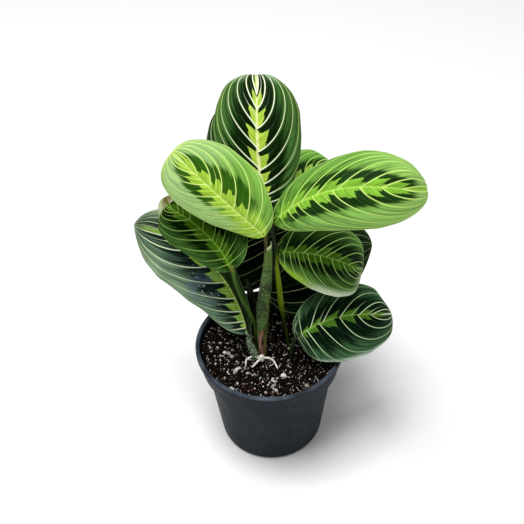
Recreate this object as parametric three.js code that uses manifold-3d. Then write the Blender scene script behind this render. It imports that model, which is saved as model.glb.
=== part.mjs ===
// A potted prayer plant (maranta): eleven leaves on two shoots and their own stalks,
// standing in peaty soil with perlite in a round plastic nursery pot.
// Millimetres, +Z up, origin at the centre of the pot's underside. The side that
// shows the plant best looks towards -Y.
import * as THREE from 'three';
import { mergeVertices } from 'three/addons/utils/BufferGeometryUtils.js';
import Module from 'manifold-3d';

const wasm = await Module();
wasm.setup();

// ---------------------------------------------------------------- driving sizes
const SEAT_GAP = 0.35;            // clearance round anything that stands in a hole

const POT_HEIGHT = 88;
const LIP_RADIUS = 52.5;          // a nursery pot 105 mm across
const LIP_HEIGHT = 4;
const LIP_WIDTH = 3.2;
const COLLAR_TOP_RADIUS = 51.2;
const COLLAR_FOOT_RADIUS = 49.3;
const COLLAR_FOOT_Z = 70;
const BODY_TOP_RADIUS = 45.4;
const BODY_TOP_Z = 67.5;
const BODY_FOOT_RADIUS = 38;
const FOOT_ROUND = 2;
const POT_WALL = 1.6;
const POT_FLOOR = 2.4;
const LEDGE_FOOT_Z = BODY_TOP_Z - POT_WALL + 1;   // inside of the step under the collar
const LEDGE_TOP_Z = COLLAR_FOOT_Z + POT_WALL;
const POT_SIDES = 44;
const DRAIN_COUNT = 6;
const DRAIN_RADIUS = 4.5;
const DRAIN_CIRCLE = 26;

const SOIL_LEVEL = 82;            // at the wall; 6 mm below the lip
const SOIL_RISE = 1.6;            // the middle stands a little higher
const SOIL_LUMP = 0.7;            // height of the lumps in the surface
const SOIL_SIDES = 30;
const PERLITE_GRAINS = 26;
const PERLITE_SMALL = 0.9;
const PERLITE_LARGE = 1.9;

const STALK_FOOT_Z = 74;          // stalks end 8 mm down in the soil
const STALK_SIDES = 6;
const BLADE_THICKNESS = 0.7;
const BLADE_ROWS = 13;            // steps from the stalk to the tip
const BLADE_COLUMNS = 6;          // steps from margin to margin
const BASE_ROUNDNESS = 0.47;      // exponents of the outline: the smaller, the blunter
const TIP_ROUNDNESS = 0.53;
const MIDRIB_END = 0.82;          // the rib under the blade fades out here
const MIDRIB_SIDES = 4;
const MIDRIB_STEPS = 9;

// ---------------------------------------------------------------- colours
const COLOURS = {
  dark: 0x24452f,
  bright: 0x6faf45,
  shaded: 0x3c6b2c,
  stalk: 0x5f7d35,
  driedSheath: 0x6b4630,
  oldSheath: 0x6a6a38,
  root: 0xd9d3bd,
  soil: 0x1d1713,
  pot: 0x2f343a,
};

// ---------------------------------------------------------------- the leaves
// midrib   four control points of the curve from the stalk to the tip
// faceBase, faceTip   which way the upper side looks at either end
// half     widest half on the left and on the right, seen from above with the tip ahead
// lift     slope of the blade beside the midrib, in degrees, left and right
// curl     how far each half bends down from there to its margin, in degrees
// baseRoundness   exponents of the outline's base on the left and on the right, where a
//          leaf differs from BASE_ROUNDNESS
// wave     height of the waves in the margin, how many of them, and where each side starts
// stalk    points of the stalk below the blade, and its radius at the foot and at the top
const LEAVES = [
  {
    name: 'leaf_top', tint: 'dark',
    midrib: [[1, 5, 199.5], [-7.5, 29, 225], [-1.5, 41, 263], [-3.5, 73.5, 257]],
    faceBase: [-0.02, -0.68, 0.73], faceTip: [0.05, -0.68, 0.73],
    half: [27, 28], lift: [11, 9], curl: [17, 19],
    wave: { height: 0.6, count: 2.5, start: [0.1, 0.6] },
    stalk: { points: [[0.6, 4.6, 196], [1, 2.2, 188], [1.5, -0.9, 178], [1.2, -3, 168]], radius: [1, 1] },
  },
  {
    name: 'leaf_upper_left', tint: 'bright',
    midrib: [[-1, -7.5, 189.5], [-21, 0, 206], [-46.5, 16, 226.5], [-55, 17.5, 236]],
    faceBase: [-0.4, -0.92, 0.03], faceTip: [0.23, -0.72, 0.66],
    half: [27, 27.5], lift: [4, 8], curl: [50, 36],
    wave: { height: 0.8, count: 3, start: [0.2, 0.7] },
    stalk: { points: [[-0.7, -6.8, 186], [-0.4, -5.2, 178], [-0.4, -5.9, 168]], radius: [1, 1.1] },
  },
  {
    name: 'leaf_upper_right', tint: 'bright',
    midrib: [[4, -1.5, 195.5], [37.5, -14, 245], [77, -35.5, 237.5], [97, -5, 218.5]],
    faceBase: [-0.22, -0.51, 0.83], faceTip: [-0.18, -0.78, 0.6],
    half: [23.5, 25.5], lift: [8, 5], curl: [37, 44],
    wave: { height: 0.8, count: 2.5, start: [0, 0.4] },
    stalk: { points: [[3.4, -1.3, 190], [4.8, -1.8, 178], [4.3, -3.6, 166], [2.4, -5.5, 155]], radius: [1.1, 1.1] },
  },
  {
    name: 'leaf_rear_right', tint: 'bright',
    midrib: [[9, 30, 185.5], [15, 49, 192], [41.5, 63, 193.5], [48, 81.5, 180.5]],
    faceBase: [0.52, -0.31, 0.8], faceTip: [0.53, -0.33, 0.78],
    half: [19, 23], lift: [8, 8], curl: [27, 25],
    wave: { height: 0.6, count: 2.5, start: [0.3, 0.8] },
    stalk: { points: [[7.5, 26.5, 175], [4.2, 19.5, 160], [2.5, 16.8, 149], [2, 15.3, 140]], radius: [0.9, 1] },
  },
  {
    name: 'leaf_left_middle', tint: 'shaded',
    midrib: [[-22.5, -12, 166.5], [-37, 20, 182.5], [-67.5, 23, 191], [-63.5, 41, 179.5]],
    faceBase: [-0.3, -0.34, 0.89], faceTip: [-0.35, -0.38, 0.86],
    half: [20, 28.5], lift: [8, 6], curl: [28, 26],
    wave: { height: 1.6, count: 2.6, start: [0.45, 0.1] },
    stalk: {
      points: [[-20.8, -14, 160], [-16.6, -11.5, 140], [-12.4, -8.5, 124], [-9.6, -6, 110], [-9.2, -2, 95],
        [-9, 0, STALK_FOOT_Z]],
      radius: [1.3, 1.2],
    },
  },
  {
    name: 'leaf_left_lower', tint: 'dark',
    midrib: [[-15, -2.5, 98], [-24, 36, 132], [-65.5, 59.5, 144.5], [-90.5, 45, 160.5]],
    faceBase: [-0.45, -0.88, 0.12], faceTip: [0, -0.8, 0.6],
    half: [34, 32.5], lift: [22, 41], curl: [4, -30],
    wave: { height: 1.2, count: 3.2, start: [0.1, 0.5] },
    stalk: { points: [[-14, -6, 93.5], [-11.8, -12.5, 87], [-10, -15, STALK_FOOT_Z]], radius: [2.3, 1.3] },
  },
  {
    name: 'leaf_left_rear', tint: 'dark',
    midrib: [[21, 42, 157], [-10.5, 46.5, 153], [-31.5, 49, 139], [-48.5, 64.5, 131]],
    faceBase: [-0.44, -0.65, 0.62], faceTip: [-0.44, -0.66, 0.61],
    half: [37, 31.5], lift: [8, 8], curl: [18, 20],
    wave: { height: 0.8, count: 2.5, start: [0.2, 0.6] },
    stalk: {
      points: [[18, 46, 151], [6, 49.5, 143], [-8, 46, 127], [-14, 34, 104], [-11, 16, STALK_FOOT_Z]],
      radius: [1.2, 1.1],
    },
  },
  {
    name: 'leaf_right_middle', tint: 'shaded',
    midrib: [[6.3, 0.7, 169], [39.2, 3.1, 168.4], [61, 4, 147], [65.8, 24.6, 129]],
    faceBase: [0.56, -0.73, 0.39], faceTip: [0.55, -0.75, 0.37],
    half: [23.6, 24], lift: [8, 5], curl: [32.5, -8],
    wave: { height: 1, count: 2.5, start: [0.3, 0.1] },
    stalk: {
      points: [[5.2, -0.4, 165.5], [6, -1.8, 157.4], [6.8, -2, 147], [8.4, -1, 124], [11.6, -0.5, 98.5],
        [14.5, -4, STALK_FOOT_Z]],
      radius: [1.1, 1.5],
    },
  },
  {
    name: 'leaf_right_lower', tint: 'dark',
    midrib: [[17.5, -19.6, 111.2], [48.7, 5.7, 115.2], [74.2, -10.1, 117.7], [87.1, 12.9, 97.6]],
    faceBase: [0.41, -0.61, 0.68], faceTip: [0.41, -0.58, 0.71],
    half: [23.2, 30.3], lift: [4.5, 9], curl: [25, 10], baseRoundness: [0.47, 0.28],
    wave: { height: 0.8, count: 3, start: [0, 0.5] },
    stalk: { points: [[15, -21, 106], [14.2, -18.5, 94], [16, -14, STALK_FOOT_Z]], radius: [1.3, 1.2] },
  },
  {
    name: 'leaf_right_rear', tint: 'dark',
    midrib: [[-1.5, 28, 112], [18, 32, 113.5], [51, 46.5, 131.5], [77.5, 58, 123.5]],
    faceBase: [0.14, -0.65, 0.74], faceTip: [0.25, -0.83, 0.5],
    half: [31, 34], lift: [8, 8], curl: [24, 25],
    wave: { height: 0.8, count: 2.5, start: [0.5, 0.9] },
    stalk: { points: [[-3.5, 26, 106], [-3, 22, 94], [-1, 20, STALK_FOOT_Z]], radius: [1.2, 1.1] },
  },
  {
    name: 'leaf_top_rear', tint: 'dark',
    midrib: [[-2, 30, 197], [-10, 48.5, 211.5], [-14.5, 69.5, 221.5], [-17.5, 93.5, 228]],
    faceBase: [-0.1, -0.45, 0.89], faceTip: [-0.1, -0.45, 0.89],
    half: [27, 26], lift: [8, 8], curl: [19, 20],
    wave: { height: 0.6, count: 2.5, start: [0, 0.5] },
    stalk: { points: [[-2.2, 27, 186], [-1.2, 20, 164], [-1, 16.8, 149], [-1.2, 15, 140]], radius: [0.9, 1] },
  },
];
const SWELLING = 1.35;            // the joint below the blade, against the stalk's radius
const SWELLING_SPAN = 0.12;       // its share of the stalk's length
const MIDRIB_RADIUS = [1.1, 0.45];

// ---------------------------------------------------------------- the shoots
// points and the half-widths across (left to right) and through (front to back)
const SHOOT_MAIN = {
  points: [[-5.2, -9, STALK_FOOT_Z], [-5.2, -9, 92], [-5, -8.8, 110], [-3.9, -8.4, 128], [-1.4, -6.9, 148],
    [0.3, -4.9, 165], [0.7, -3.4, 178]],
  across: [2.4, 2.8, 3.6, 4.5, 4.2, 2.9, 2.3],
  through: [2.2, 2.4, 2.9, 3.3, 3.4, 3.5, 3.4],
};
const SHOOT_REAR = {
  points: [[-3, 12, STALK_FOOT_Z], [-2.5, 13, 100], [-0.8, 14.5, 125], [0.6, 16, 148]],
  across: [2.6, 2.9, 3.2, 3.4],
  through: [2.4, 2.6, 2.7, 2.4],
};
const SHOOT_SIDES = 12;

// scales that clasp a shoot: a centre line, the side they stand on and their widest half
const DRIED_SHEATH = {
  midrib: [[-5.2, -12.9, 79], [-6.2, -13.2, 90], [-6.4, -13.3, 100], [-4.8, -13.3, 113]],
  faceBase: [0, -1, 0.1], faceTip: [0, -1, 0.1],
  half: [2.6, 2.6], lift: [0, 0], curl: [62, 62],
  wave: { height: 0, count: 1, start: [0, 0] },
};
const OLD_SHEATH = {
  midrib: [[-7, 5.5, 78], [-8.5, 5, 100], [-10.5, 4, 122], [-14, 2.5, 146]],
  faceBase: [-0.2, -1, 0.1], faceTip: [-0.3, -1, 0.1],
  half: [3.4, 3.4], lift: [0, 0], curl: [60, 60],
  wave: { height: 0.3, count: 3, start: [0, 0.3] },
};
const SHEATH_ROWS = 8;
const SHEATH_COLUMNS = 4;

// crown knob and the roots that lie on the soil, each a chain of points and a radius
const CROWN = { centre: [-5.6, -12.2, 82.6], half: [3.4, 3, 2.2] };
const ROOT_RADIUS = [0.95, 0.5];
const ROOT_SIDES = 5;
const ROOTS = [
  [[-6.5, -12, 83.2], [-12.7, -10.9, 85], [-16.3, -13.5, 84.6], [-16.3, -18.1, 84], [-12.9, -20, 83.8]],
  [[-4.8, -12, 83.2], [0.5, -14.3, 85], [3.1, -18, 84.6], [5, -22.7, 83]],
  [[-5.8, -12.6, 83.2], [-6.4, -16.4, 84.8], [-5.3, -21.3, 83]],
  [[-7.4, -13, 83.2], [-9.6, -15.6, 84.4], [-9.4, -18, 83.4]],
];

// ---------------------------------------------------------------- general helpers
const vector = ([x, y, z]) => new THREE.Vector3(x, y, z);
const radians = THREE.MathUtils.degToRad;
const mix = THREE.MathUtils.lerp;

/** Repeatable random numbers from 0 to 1. */
function seeded(seed) {
  let state = seed;
  return () => {
    state = (state * 1664525 + 1013904223) % 4294967296;
    return state / 4294967296;
  };
}

/** Value of a list at a share of its length, joined by straight lines. */
function along(list, share) {
  const place = share * (list.length - 1);
  const index = Math.min(Math.floor(place), list.length - 2);
  return mix(list[index], list[index + 1], place - index);
}

/** The points with the first moved outwards along the line by the extra length. */
function deeper(points, extra) {
  const [foot, next] = points.slice(0, 2).map(vector);
  const moved = foot.clone().addScaledVector(foot.clone().sub(next).normalize(), extra);
  return [moved.toArray(), ...points.slice(1)];
}

/** Geometry from points and triangles, turned inside out if its volume is negative. */
function closedGeometry(points, triangles) {
  let volume = 0;
  for (const [a, b, c] of triangles) {
    volume += points[a].dot(points[b].clone().cross(points[c]));
  }
  const geometry = new THREE.BufferGeometry().setFromPoints(points);
  geometry.setIndex(triangles.flatMap(([a, b, c]) => (volume < 0 ? [a, c, b] : [a, b, c])));
  return geometry;
}

/** A closed mesh as a solid that can be joined and cut. */
function toSolid(source) {
  const bare = source.clone();
  bare.deleteAttribute('normal');
  bare.deleteAttribute('uv');
  const merged = mergeVertices(bare, 1e-4);
  const index = merged.index.array;
  const position = merged.attributes.position;
  const corner = (i) => new THREE.Vector3().fromBufferAttribute(position, i);
  let volume = 0;
  for (let i = 0; i < index.length; i += 3) {
    volume += corner(index[i]).dot(corner(index[i + 1]).cross(corner(index[i + 2])));
  }
  const triVerts = Uint32Array.from(index);
  if (volume < 0) {
    triVerts.reverse();
  }
  const vertProperties = Float32Array.from(position.array);
  return new wasm.Manifold(new wasm.Mesh({ numProp: 3, vertProperties, triVerts }));
}

/** A solid as a mesh geometry, without the loose scraps that a cut may leave. */
function toGeometry(solid) {
  const bodies = solid.decompose().sort((a, b) => b.volume() - a.volume());
  const mesh = bodies[0].getMesh();
  const geometry = new THREE.BufferGeometry();
  geometry.setAttribute('position', new THREE.BufferAttribute(mesh.vertProperties, 3));
  geometry.setIndex(new THREE.BufferAttribute(mesh.triVerts, 1));
  geometry.computeVertexNormals();
  return geometry;
}

const join = (solids) => solids.reduce((sum, solid) => sum.add(solid));
const cut = (solid, tools) => tools.reduce((rest, tool) => rest.subtract(tool), solid);

/** A named part with a plain material. */
function part(name, solid, colour, roughness) {
  const material = new THREE.MeshStandardMaterial({ color: colour, roughness, metalness: 0 });
  const mesh = new THREE.Mesh(toGeometry(solid), material);
  mesh.name = name;
  return mesh;
}

/**
 * A closed tube along a smooth curve through the points. Its section is an ellipse whose
 * half-widths across (about X) and through (about Y) follow the curve's share u.
 */
function tube(points, across, through, sides, steps) {
  const curve = new THREE.CatmullRomCurve3(points.map(vector), false, 'centripetal');
  const rings = [];
  for (let i = 0; i <= steps; i++) {
    const u = i / steps;
    const centre = curve.getPoint(u);
    const ahead = curve.getTangent(u);
    const side = new THREE.Vector3(1, 0, 0).addScaledVector(ahead, -ahead.x);
    if (side.length() < 0.5) {
      side.set(0, 1, 0).addScaledVector(ahead, -ahead.y);
    }
    side.normalize();
    const front = ahead.clone().cross(side);
    for (let j = 0; j < sides; j++) {
      const angle = (j / sides) * 2 * Math.PI;
      rings.push(centre.clone()
        .addScaledVector(side, Math.cos(angle) * across(u))
        .addScaledVector(front, Math.sin(angle) * through(u)));
    }
  }
  const triangles = [];
  for (let i = 0; i < steps; i++) {
    for (let j = 0; j < sides; j++) {
      const a = i * sides + j;
      const b = i * sides + ((j + 1) % sides);
      triangles.push([a, b, b + sides], [a, b + sides, a + sides]);
    }
  }
  const foot = rings.push(curve.getPoint(0)) - 1;
  const head = rings.push(curve.getPoint(1)) - 1;
  for (let j = 0; j < sides; j++) {
    const next = (j + 1) % sides;
    triangles.push([foot, next, j], [head, steps * sides + j, steps * sides + next]);
  }
  return toSolid(closedGeometry(rings, triangles));
}

// ---------------------------------------------------------------- blades
/** Half-width of a blade as a share of its widest: s^a (1-s)^b, scaled to reach 1. */
function outline(s, base = BASE_ROUNDNESS) {
  const widest = base / (base + TIP_ROUNDNESS);
  const top = widest ** base * (1 - widest) ** TIP_ROUNDNESS;
  return (s ** base * (1 - s) ** TIP_ROUNDNESS) / top;
}

/**
 * A point of the blade's middle surface and its upper normal. s runs from the stalk to
 * the tip, t from the left margin (-1) over the midrib (0) to the right margin (1).
 * Across the blade each half is an arc: it leaves the midrib at its lift and has turned
 * down by lift + curl at the margin. Waves grow with the square of t.
 */
function bladePoint(leaf, s, t) {
  const curve = new THREE.CubicBezierCurve3(...leaf.midrib.map(vector));
  const ahead = curve.getTangent(s);
  const face = vector(leaf.faceBase).lerp(vector(leaf.faceTip), s);
  face.addScaledVector(ahead, -face.dot(ahead)).normalize();
  const right = ahead.clone().cross(face);
  const side = t < 0 ? 0 : 1;
  const sign = t < 0 ? -1 : 1;
  const reach = Math.abs(t);
  const width = leaf.half[side] * outline(s, leaf.baseRoundness?.[side]);
  const lift = radians(leaf.lift[side]);
  const turn = -lift - radians(leaf.curl[side]) || -1e-4;
  const slope = lift + turn * reach;
  const outward = ((Math.sin(slope) - Math.sin(lift)) / turn) * width;
  const up = ((Math.cos(lift) - Math.cos(slope)) / turn) * width;
  const phase = 2 * Math.PI * (leaf.wave.count * s + leaf.wave.start[side]);
  const wave = leaf.wave.height * reach ** 2 * Math.sin(phase) * Math.sqrt(outline(s));
  const point = curve.getPoint(s).addScaledVector(right, sign * outward).addScaledVector(face, up + wave);
  const normal = face.multiplyScalar(Math.cos(slope)).addScaledVector(right, -sign * Math.sin(slope));
  return { point, normal: normal.normalize() };
}

/** A thin closed sheet over bladePoint, split into triangles alike on both faces. */
function sheet(leaf, rows, columns, extra = 0) {
  const half = BLADE_THICKNESS / 2 + extra;
  const upper = [];
  const lower = [];
  const addPoint = (s, t) => {
    const { point, normal } = bladePoint(leaf, s, t);
    upper.push(point.clone().addScaledVector(normal, half));
    lower.push(point.clone().addScaledVector(normal, -half));
  };
  addPoint(0, 0);
  for (let i = 1; i < rows; i++) {
    const s = (1 - Math.cos((i / rows) * Math.PI)) / 2;
    for (let j = 0; j <= columns; j++) {
      addPoint(s, (2 * j) / columns - 1);
    }
  }
  addPoint(1, 0);
  const at = (i, j) => 1 + (i - 1) * (columns + 1) + j;
  const tip = upper.length - 1;
  const faces = [];
  for (let j = 0; j < columns; j++) {
    faces.push([0, at(1, j + 1), at(1, j)], [tip, at(rows - 1, j), at(rows - 1, j + 1)]);
    for (let i = 1; i < rows - 1; i++) {
      faces.push([at(i, j), at(i, j + 1), at(i + 1, j + 1)], [at(i, j), at(i + 1, j + 1), at(i + 1, j)]);
    }
  }
  const inner = Array.from({ length: rows - 1 }, (_, k) => k + 1);
  const rim = [0, ...inner.map((i) => at(i, columns)), tip, ...inner.reverse().map((i) => at(i, 0))];
  const count = upper.length;
  const triangles = [...faces, ...faces.map(([a, b, c]) => [a + count, c + count, b + count])];
  rim.forEach((a, k) => {
    const b = rim[(k + 1) % rim.length];
    triangles.push([a, a + count, b + count], [a, b + count, b]);
  });
  return toSolid(closedGeometry([...upper, ...lower], triangles));
}

/** Where the rib lies under the blade: its top is flush with the blade's middle. */
function ribPoint(leaf, s, radius) {
  const { point, normal } = bladePoint(leaf, s, 0);
  return point.addScaledVector(normal, -radius).toArray();
}

/** The stalk from its foot to the blade, with the swollen joint at its top. */
function stalk(leaf, extra = 0) {
  const [foot, head] = leaf.stalk.radius;
  const points = deeper([...leaf.stalk.points].reverse(), extra);
  points.push(ribPoint(leaf, 0, MIDRIB_RADIUS[0]), ribPoint(leaf, 0.04, MIDRIB_RADIUS[0]));
  const radius = (u) => {
    const near = Math.max(0, 1 - Math.abs(u - 1 + SWELLING_SPAN) / SWELLING_SPAN);
    return mix(foot, head, u) * (1 + (SWELLING - 1) * near) + extra;
  };
  return tube(points, radius, radius, STALK_SIDES, points.length + 4);
}

/** The rib under the blade, thinning towards the tip. */
function rib(leaf) {
  const radius = (u) => mix(MIDRIB_RADIUS[0], MIDRIB_RADIUS[1], u);
  const points = Array.from({ length: MIDRIB_STEPS + 1 }, (_, k) => {
    const u = k / MIDRIB_STEPS;
    return ribPoint(leaf, u * MIDRIB_END, radius(u));
  });
  return tube(points, radius, radius, MIDRIB_SIDES, MIDRIB_STEPS);
}

function leafPart(leaf) {
  const solid = join([sheet(leaf, BLADE_ROWS, BLADE_COLUMNS), rib(leaf), stalk(leaf)]);
  return part(leaf.name, solid, COLOURS[leaf.tint], 0.45);
}

// ---------------------------------------------------------------- shoots and roots
function shoot(line, extra = 0) {
  const across = (u) => along(line.across, u) + extra;
  const through = (u) => along(line.through, u) + extra;
  return tube(deeper(line.points, extra), across, through, SHOOT_SIDES, line.points.length * 2);
}

function root(points, extra = 0) {
  const radius = (u) => mix(ROOT_RADIUS[1], ROOT_RADIUS[0], u) + extra;
  const fromTip = deeper([...points].reverse(), extra);
  return tube(fromTip, radius, radius, ROOT_SIDES, points.length * 2);
}

/** The knob at the foot of the main shoot and the roots that grow out of it. */
function surfaceRoots(extra = 0) {
  const knob = new THREE.IcosahedronGeometry(1, 1);
  knob.scale(...CROWN.half.map((half) => half + extra));
  knob.translate(...CROWN.centre);
  return join([toSolid(knob), ...ROOTS.map((points) => root(points, extra))]);
}

// ---------------------------------------------------------------- soil and pot
/** Radius of the pot's inner wall at height z. */
function innerRadius(z) {
  if (z > COLLAR_FOOT_Z) {
    const share = (z - COLLAR_FOOT_Z) / (POT_HEIGHT - LIP_HEIGHT - COLLAR_FOOT_Z);
    return mix(COLLAR_FOOT_RADIUS, COLLAR_TOP_RADIUS, Math.min(share, 1)) - POT_WALL;
  }
  return mix(BODY_FOOT_RADIUS, BODY_TOP_RADIUS, z / BODY_TOP_Z) - POT_WALL;
}

/** Height of the soil: a low mound with lumps, flat at the wall. */
function soilHeight(x, y) {
  const r = Math.hypot(x, y) / innerRadius(SOIL_LEVEL);
  const lumps = Math.sin(0.31 * x + 1.3) * Math.sin(0.27 * y + 0.4) + 0.7 * Math.sin(0.55 * x - 0.47 * y);
  return SOIL_LEVEL + (1 - r * r) * (SOIL_RISE + SOIL_LUMP * lumps);
}

function soil(standing) {
  const edge = innerRadius(SOIL_LEVEL) - SEAT_GAP;
  const shares = [0.85, 0.7, 0.55, 0.4, 0.25, 0.1];
  const profile = [
    [0, POT_FLOOR + SEAT_GAP],
    [innerRadius(POT_FLOOR) - SEAT_GAP - 0.6, POT_FLOOR + SEAT_GAP],
    [innerRadius(LEDGE_FOOT_Z) - SEAT_GAP, LEDGE_FOOT_Z + SEAT_GAP],
    [innerRadius(LEDGE_TOP_Z) - SEAT_GAP, LEDGE_TOP_Z + SEAT_GAP],
    [edge, SOIL_LEVEL],
    ...shares.map((share) => [edge * share, SOIL_LEVEL]),
    [0, SOIL_LEVEL],
  ];
  const body = new THREE.LatheGeometry(profile.map(([r, z]) => new THREE.Vector2(r, z)), SOIL_SIDES);
  body.rotateX(Math.PI / 2);
  const position = body.attributes.position;
  for (let i = 0; i < position.count; i++) {
    if (position.getZ(i) > SOIL_LEVEL - 0.01) {
      position.setZ(i, soilHeight(position.getX(i), position.getY(i)));
    }
  }
  const random = seeded(7);
  const grains = Array.from({ length: PERLITE_GRAINS }, () => {
    const angle = random() * 2 * Math.PI;
    const distance = Math.sqrt(random()) * (edge - 3);
    const size = mix(PERLITE_SMALL, PERLITE_LARGE, random() ** 2);
    const [x, y] = [distance * Math.cos(angle), distance * Math.sin(angle)];
    const grain = new THREE.OctahedronGeometry(size);
    grain.rotateX(random() * 3);
    grain.rotateY(random() * 3);
    grain.translate(x, y, soilHeight(x, y) - 0.1 * size);
    return toSolid(grain);
  });
  return cut(join([toSolid(body), ...grains]), standing);
}

function pot() {
  const inner = (z) => [innerRadius(z), z];
  const lipInner = LIP_RADIUS - LIP_WIDTH;
  const lipFoot = POT_HEIGHT - LIP_HEIGHT;
  const profile = [
    [0, 0],
    [BODY_FOOT_RADIUS - FOOT_ROUND, 0],
    [BODY_FOOT_RADIUS - FOOT_ROUND * 0.3, FOOT_ROUND * 0.3],
    [BODY_FOOT_RADIUS, FOOT_ROUND],
    [BODY_TOP_RADIUS, BODY_TOP_Z],
    [COLLAR_FOOT_RADIUS, COLLAR_FOOT_Z],
    [COLLAR_TOP_RADIUS, lipFoot],
    [LIP_RADIUS, lipFoot + 0.5],
    [LIP_RADIUS, POT_HEIGHT - 1.1],
    [LIP_RADIUS - 1, POT_HEIGHT],
    [lipInner + 0.8, POT_HEIGHT],
    [lipInner, POT_HEIGHT - 0.9],
    inner(lipFoot),
    inner(LEDGE_TOP_Z),
    inner(LEDGE_FOOT_Z),
    inner(POT_FLOOR),
    [0, POT_FLOOR],
  ];
  const body = new THREE.LatheGeometry(profile.map(([r, z]) => new THREE.Vector2(r, z)), POT_SIDES);
  body.rotateX(Math.PI / 2);
  const holes = Array.from({ length: DRAIN_COUNT }, (_, k) => {
    const angle = (k / DRAIN_COUNT) * 2 * Math.PI;
    const hole = new THREE.CylinderGeometry(DRAIN_RADIUS, DRAIN_RADIUS, 3 * POT_FLOOR, 14);
    hole.rotateX(Math.PI / 2);
    hole.translate(DRAIN_CIRCLE * Math.cos(angle), DRAIN_CIRCLE * Math.sin(angle), 0);
    return toSolid(hole);
  });
  return cut(toSolid(body), holes);
}

// ---------------------------------------------------------------- the whole plant
const stalks = LEAVES.map((leaf) => stalk(leaf, SEAT_GAP));
const mainWithGap = shoot(SHOOT_MAIN, SEAT_GAP);
const rearWithGap = shoot(SHOOT_REAR, SEAT_GAP);
const driedSheath = sheet(DRIED_SHEATH, SHEATH_ROWS, SHEATH_COLUMNS);
const oldSheath = sheet(OLD_SHEATH, SHEATH_ROWS, SHEATH_COLUMNS);
const looseScales = [DRIED_SHEATH, OLD_SHEATH].map((scale) => {
  const wider = { ...scale, midrib: deeper(scale.midrib, 3 * SEAT_GAP), half: scale.half.map((half) => half + SEAT_GAP) };
  return sheet(wider, SHEATH_ROWS, SHEATH_COLUMNS, SEAT_GAP);
});

const plant = new THREE.Group();
plant.add(
  part('pot', pot(), COLOURS.pot, 0.55),
  part('soil', soil([...stalks, mainWithGap, rearWithGap, surfaceRoots(SEAT_GAP), ...looseScales]), COLOURS.soil, 1),
  part('surface_roots', cut(surfaceRoots(), [mainWithGap, ...stalks, ...looseScales]), COLOURS.root, 0.7),
  part('shoot_main', cut(shoot(SHOOT_MAIN), stalks), COLOURS.stalk, 0.5),
  part('shoot_rear', cut(shoot(SHOOT_REAR), stalks), COLOURS.stalk, 0.5),
  part('dried_sheath', driedSheath, COLOURS.driedSheath, 0.9),
  part('old_sheath', oldSheath, COLOURS.oldSheath, 0.8),
  ...LEAVES.map(leafPart),
);

export default plant;
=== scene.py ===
"""Finished look of a potted prayer plant (maranta) over its solid model.

Sizes are worked out in millimetres and put into the meshes in metres. +Z is up, the
origin is the centre of the pot's underside and the plant shows best towards -Y.
"""
import math
from types import SimpleNamespace

import bmesh
import bpy
import numpy as np
from mathutils import Matrix


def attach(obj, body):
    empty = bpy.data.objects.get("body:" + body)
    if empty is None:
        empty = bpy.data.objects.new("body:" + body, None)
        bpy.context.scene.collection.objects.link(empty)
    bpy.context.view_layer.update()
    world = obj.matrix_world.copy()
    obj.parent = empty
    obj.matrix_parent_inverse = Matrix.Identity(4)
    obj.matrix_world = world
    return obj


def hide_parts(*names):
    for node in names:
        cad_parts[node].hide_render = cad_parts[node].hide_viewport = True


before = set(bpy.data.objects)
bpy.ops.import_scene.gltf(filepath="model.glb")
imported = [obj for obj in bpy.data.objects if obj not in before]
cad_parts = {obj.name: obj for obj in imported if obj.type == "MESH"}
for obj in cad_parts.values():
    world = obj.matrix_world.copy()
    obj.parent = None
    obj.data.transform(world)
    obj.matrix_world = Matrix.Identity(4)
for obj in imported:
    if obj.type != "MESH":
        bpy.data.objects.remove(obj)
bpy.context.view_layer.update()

# ---------------------------------------------------------------- sizes, in millimetres
POT_HEIGHT = 88.0
POT_WALL = 1.6
POT_FLOOR = 2.4
LIP_RADIUS = 52.5
COLLAR_TOP_RADIUS = 51.2
COLLAR_TOP_Z = 84.0
COLLAR_FOOT_RADIUS = 49.3
COLLAR_FOOT_Z = 70.0
BODY_TOP_RADIUS = 45.4
BODY_TOP_Z = 67.5
BODY_FOOT_RADIUS = 38.0
LEDGE_FOOT_Z = BODY_TOP_Z - POT_WALL + 1.0      # inside of the step under the collar
LEDGE_TOP_Z = COLLAR_FOOT_Z + POT_WALL
POT_SIDES = 192
DRAIN_COUNT = 6
DRAIN_RADIUS = 4.5
DRAIN_CIRCLE = 26.0
HOLE_BAND = (19.0, 33.0)          # radii between which the floor is drilled
HOLE_RINGS = 5                    # rings of points from a hole's edge to its sector's edge
SEAT_GAP = 0.35
SOIL_LEVEL = 82.0
SOIL_RISE = 1.6
SOIL_LUMP = 0.7
SOIL_EDGE = 49.33                 # radius at the wall
SOIL_SIDES = 300
SOIL_RINGS = 90
SCATTER_EDGE = 47.6               # radius up to which grains lie
CRUMB_COUNT = 3600
CHIP_COUNT = 420
PERLITE_COUNT = 2200

BLADE_ROWS = 150                  # steps from the stalk to the tip
BLADE_COLUMNS = 44                # steps from the midrib to each margin
BLADE_HALF_THICKNESS = 0.2
MARGIN_HALF_THICKNESS = 0.1
BASE_ROUNDNESS = 0.47             # exponents of the outline: the smaller, the blunter
TIP_ROUNDNESS = 0.53
QUILT_HEIGHT = 0.42               # how far the blade bulges between two side veins
UNEVEN_MARGIN = 0.006             # share by which the margin swings in and out
MARGIN_CROWDING = 0.8             # share of a quarter turn that spaces the columns
VEIN_STEP_BEFORE = 0.06           # steps of the side veins before the first and past the
VEIN_STEP_AFTER = 0.13            # last one listed, as shares of the midrib
MIDRIB_GROOVE = 0.3
MIDRIB_RADIUS = (1.1, 0.4)
SWELLING = 1.35                   # the joint below the blade, against the stalk's radius
SWELLING_SPAN = 0.12
STEM_SIDES = 14
SHEATH_SLANT = 1.5                # how much higher the shoot's open top is towards +X
RIM_DEPTHS = (0.2, 1.6, 3.0)      # how far the top's rim turns down, ring by ring
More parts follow.
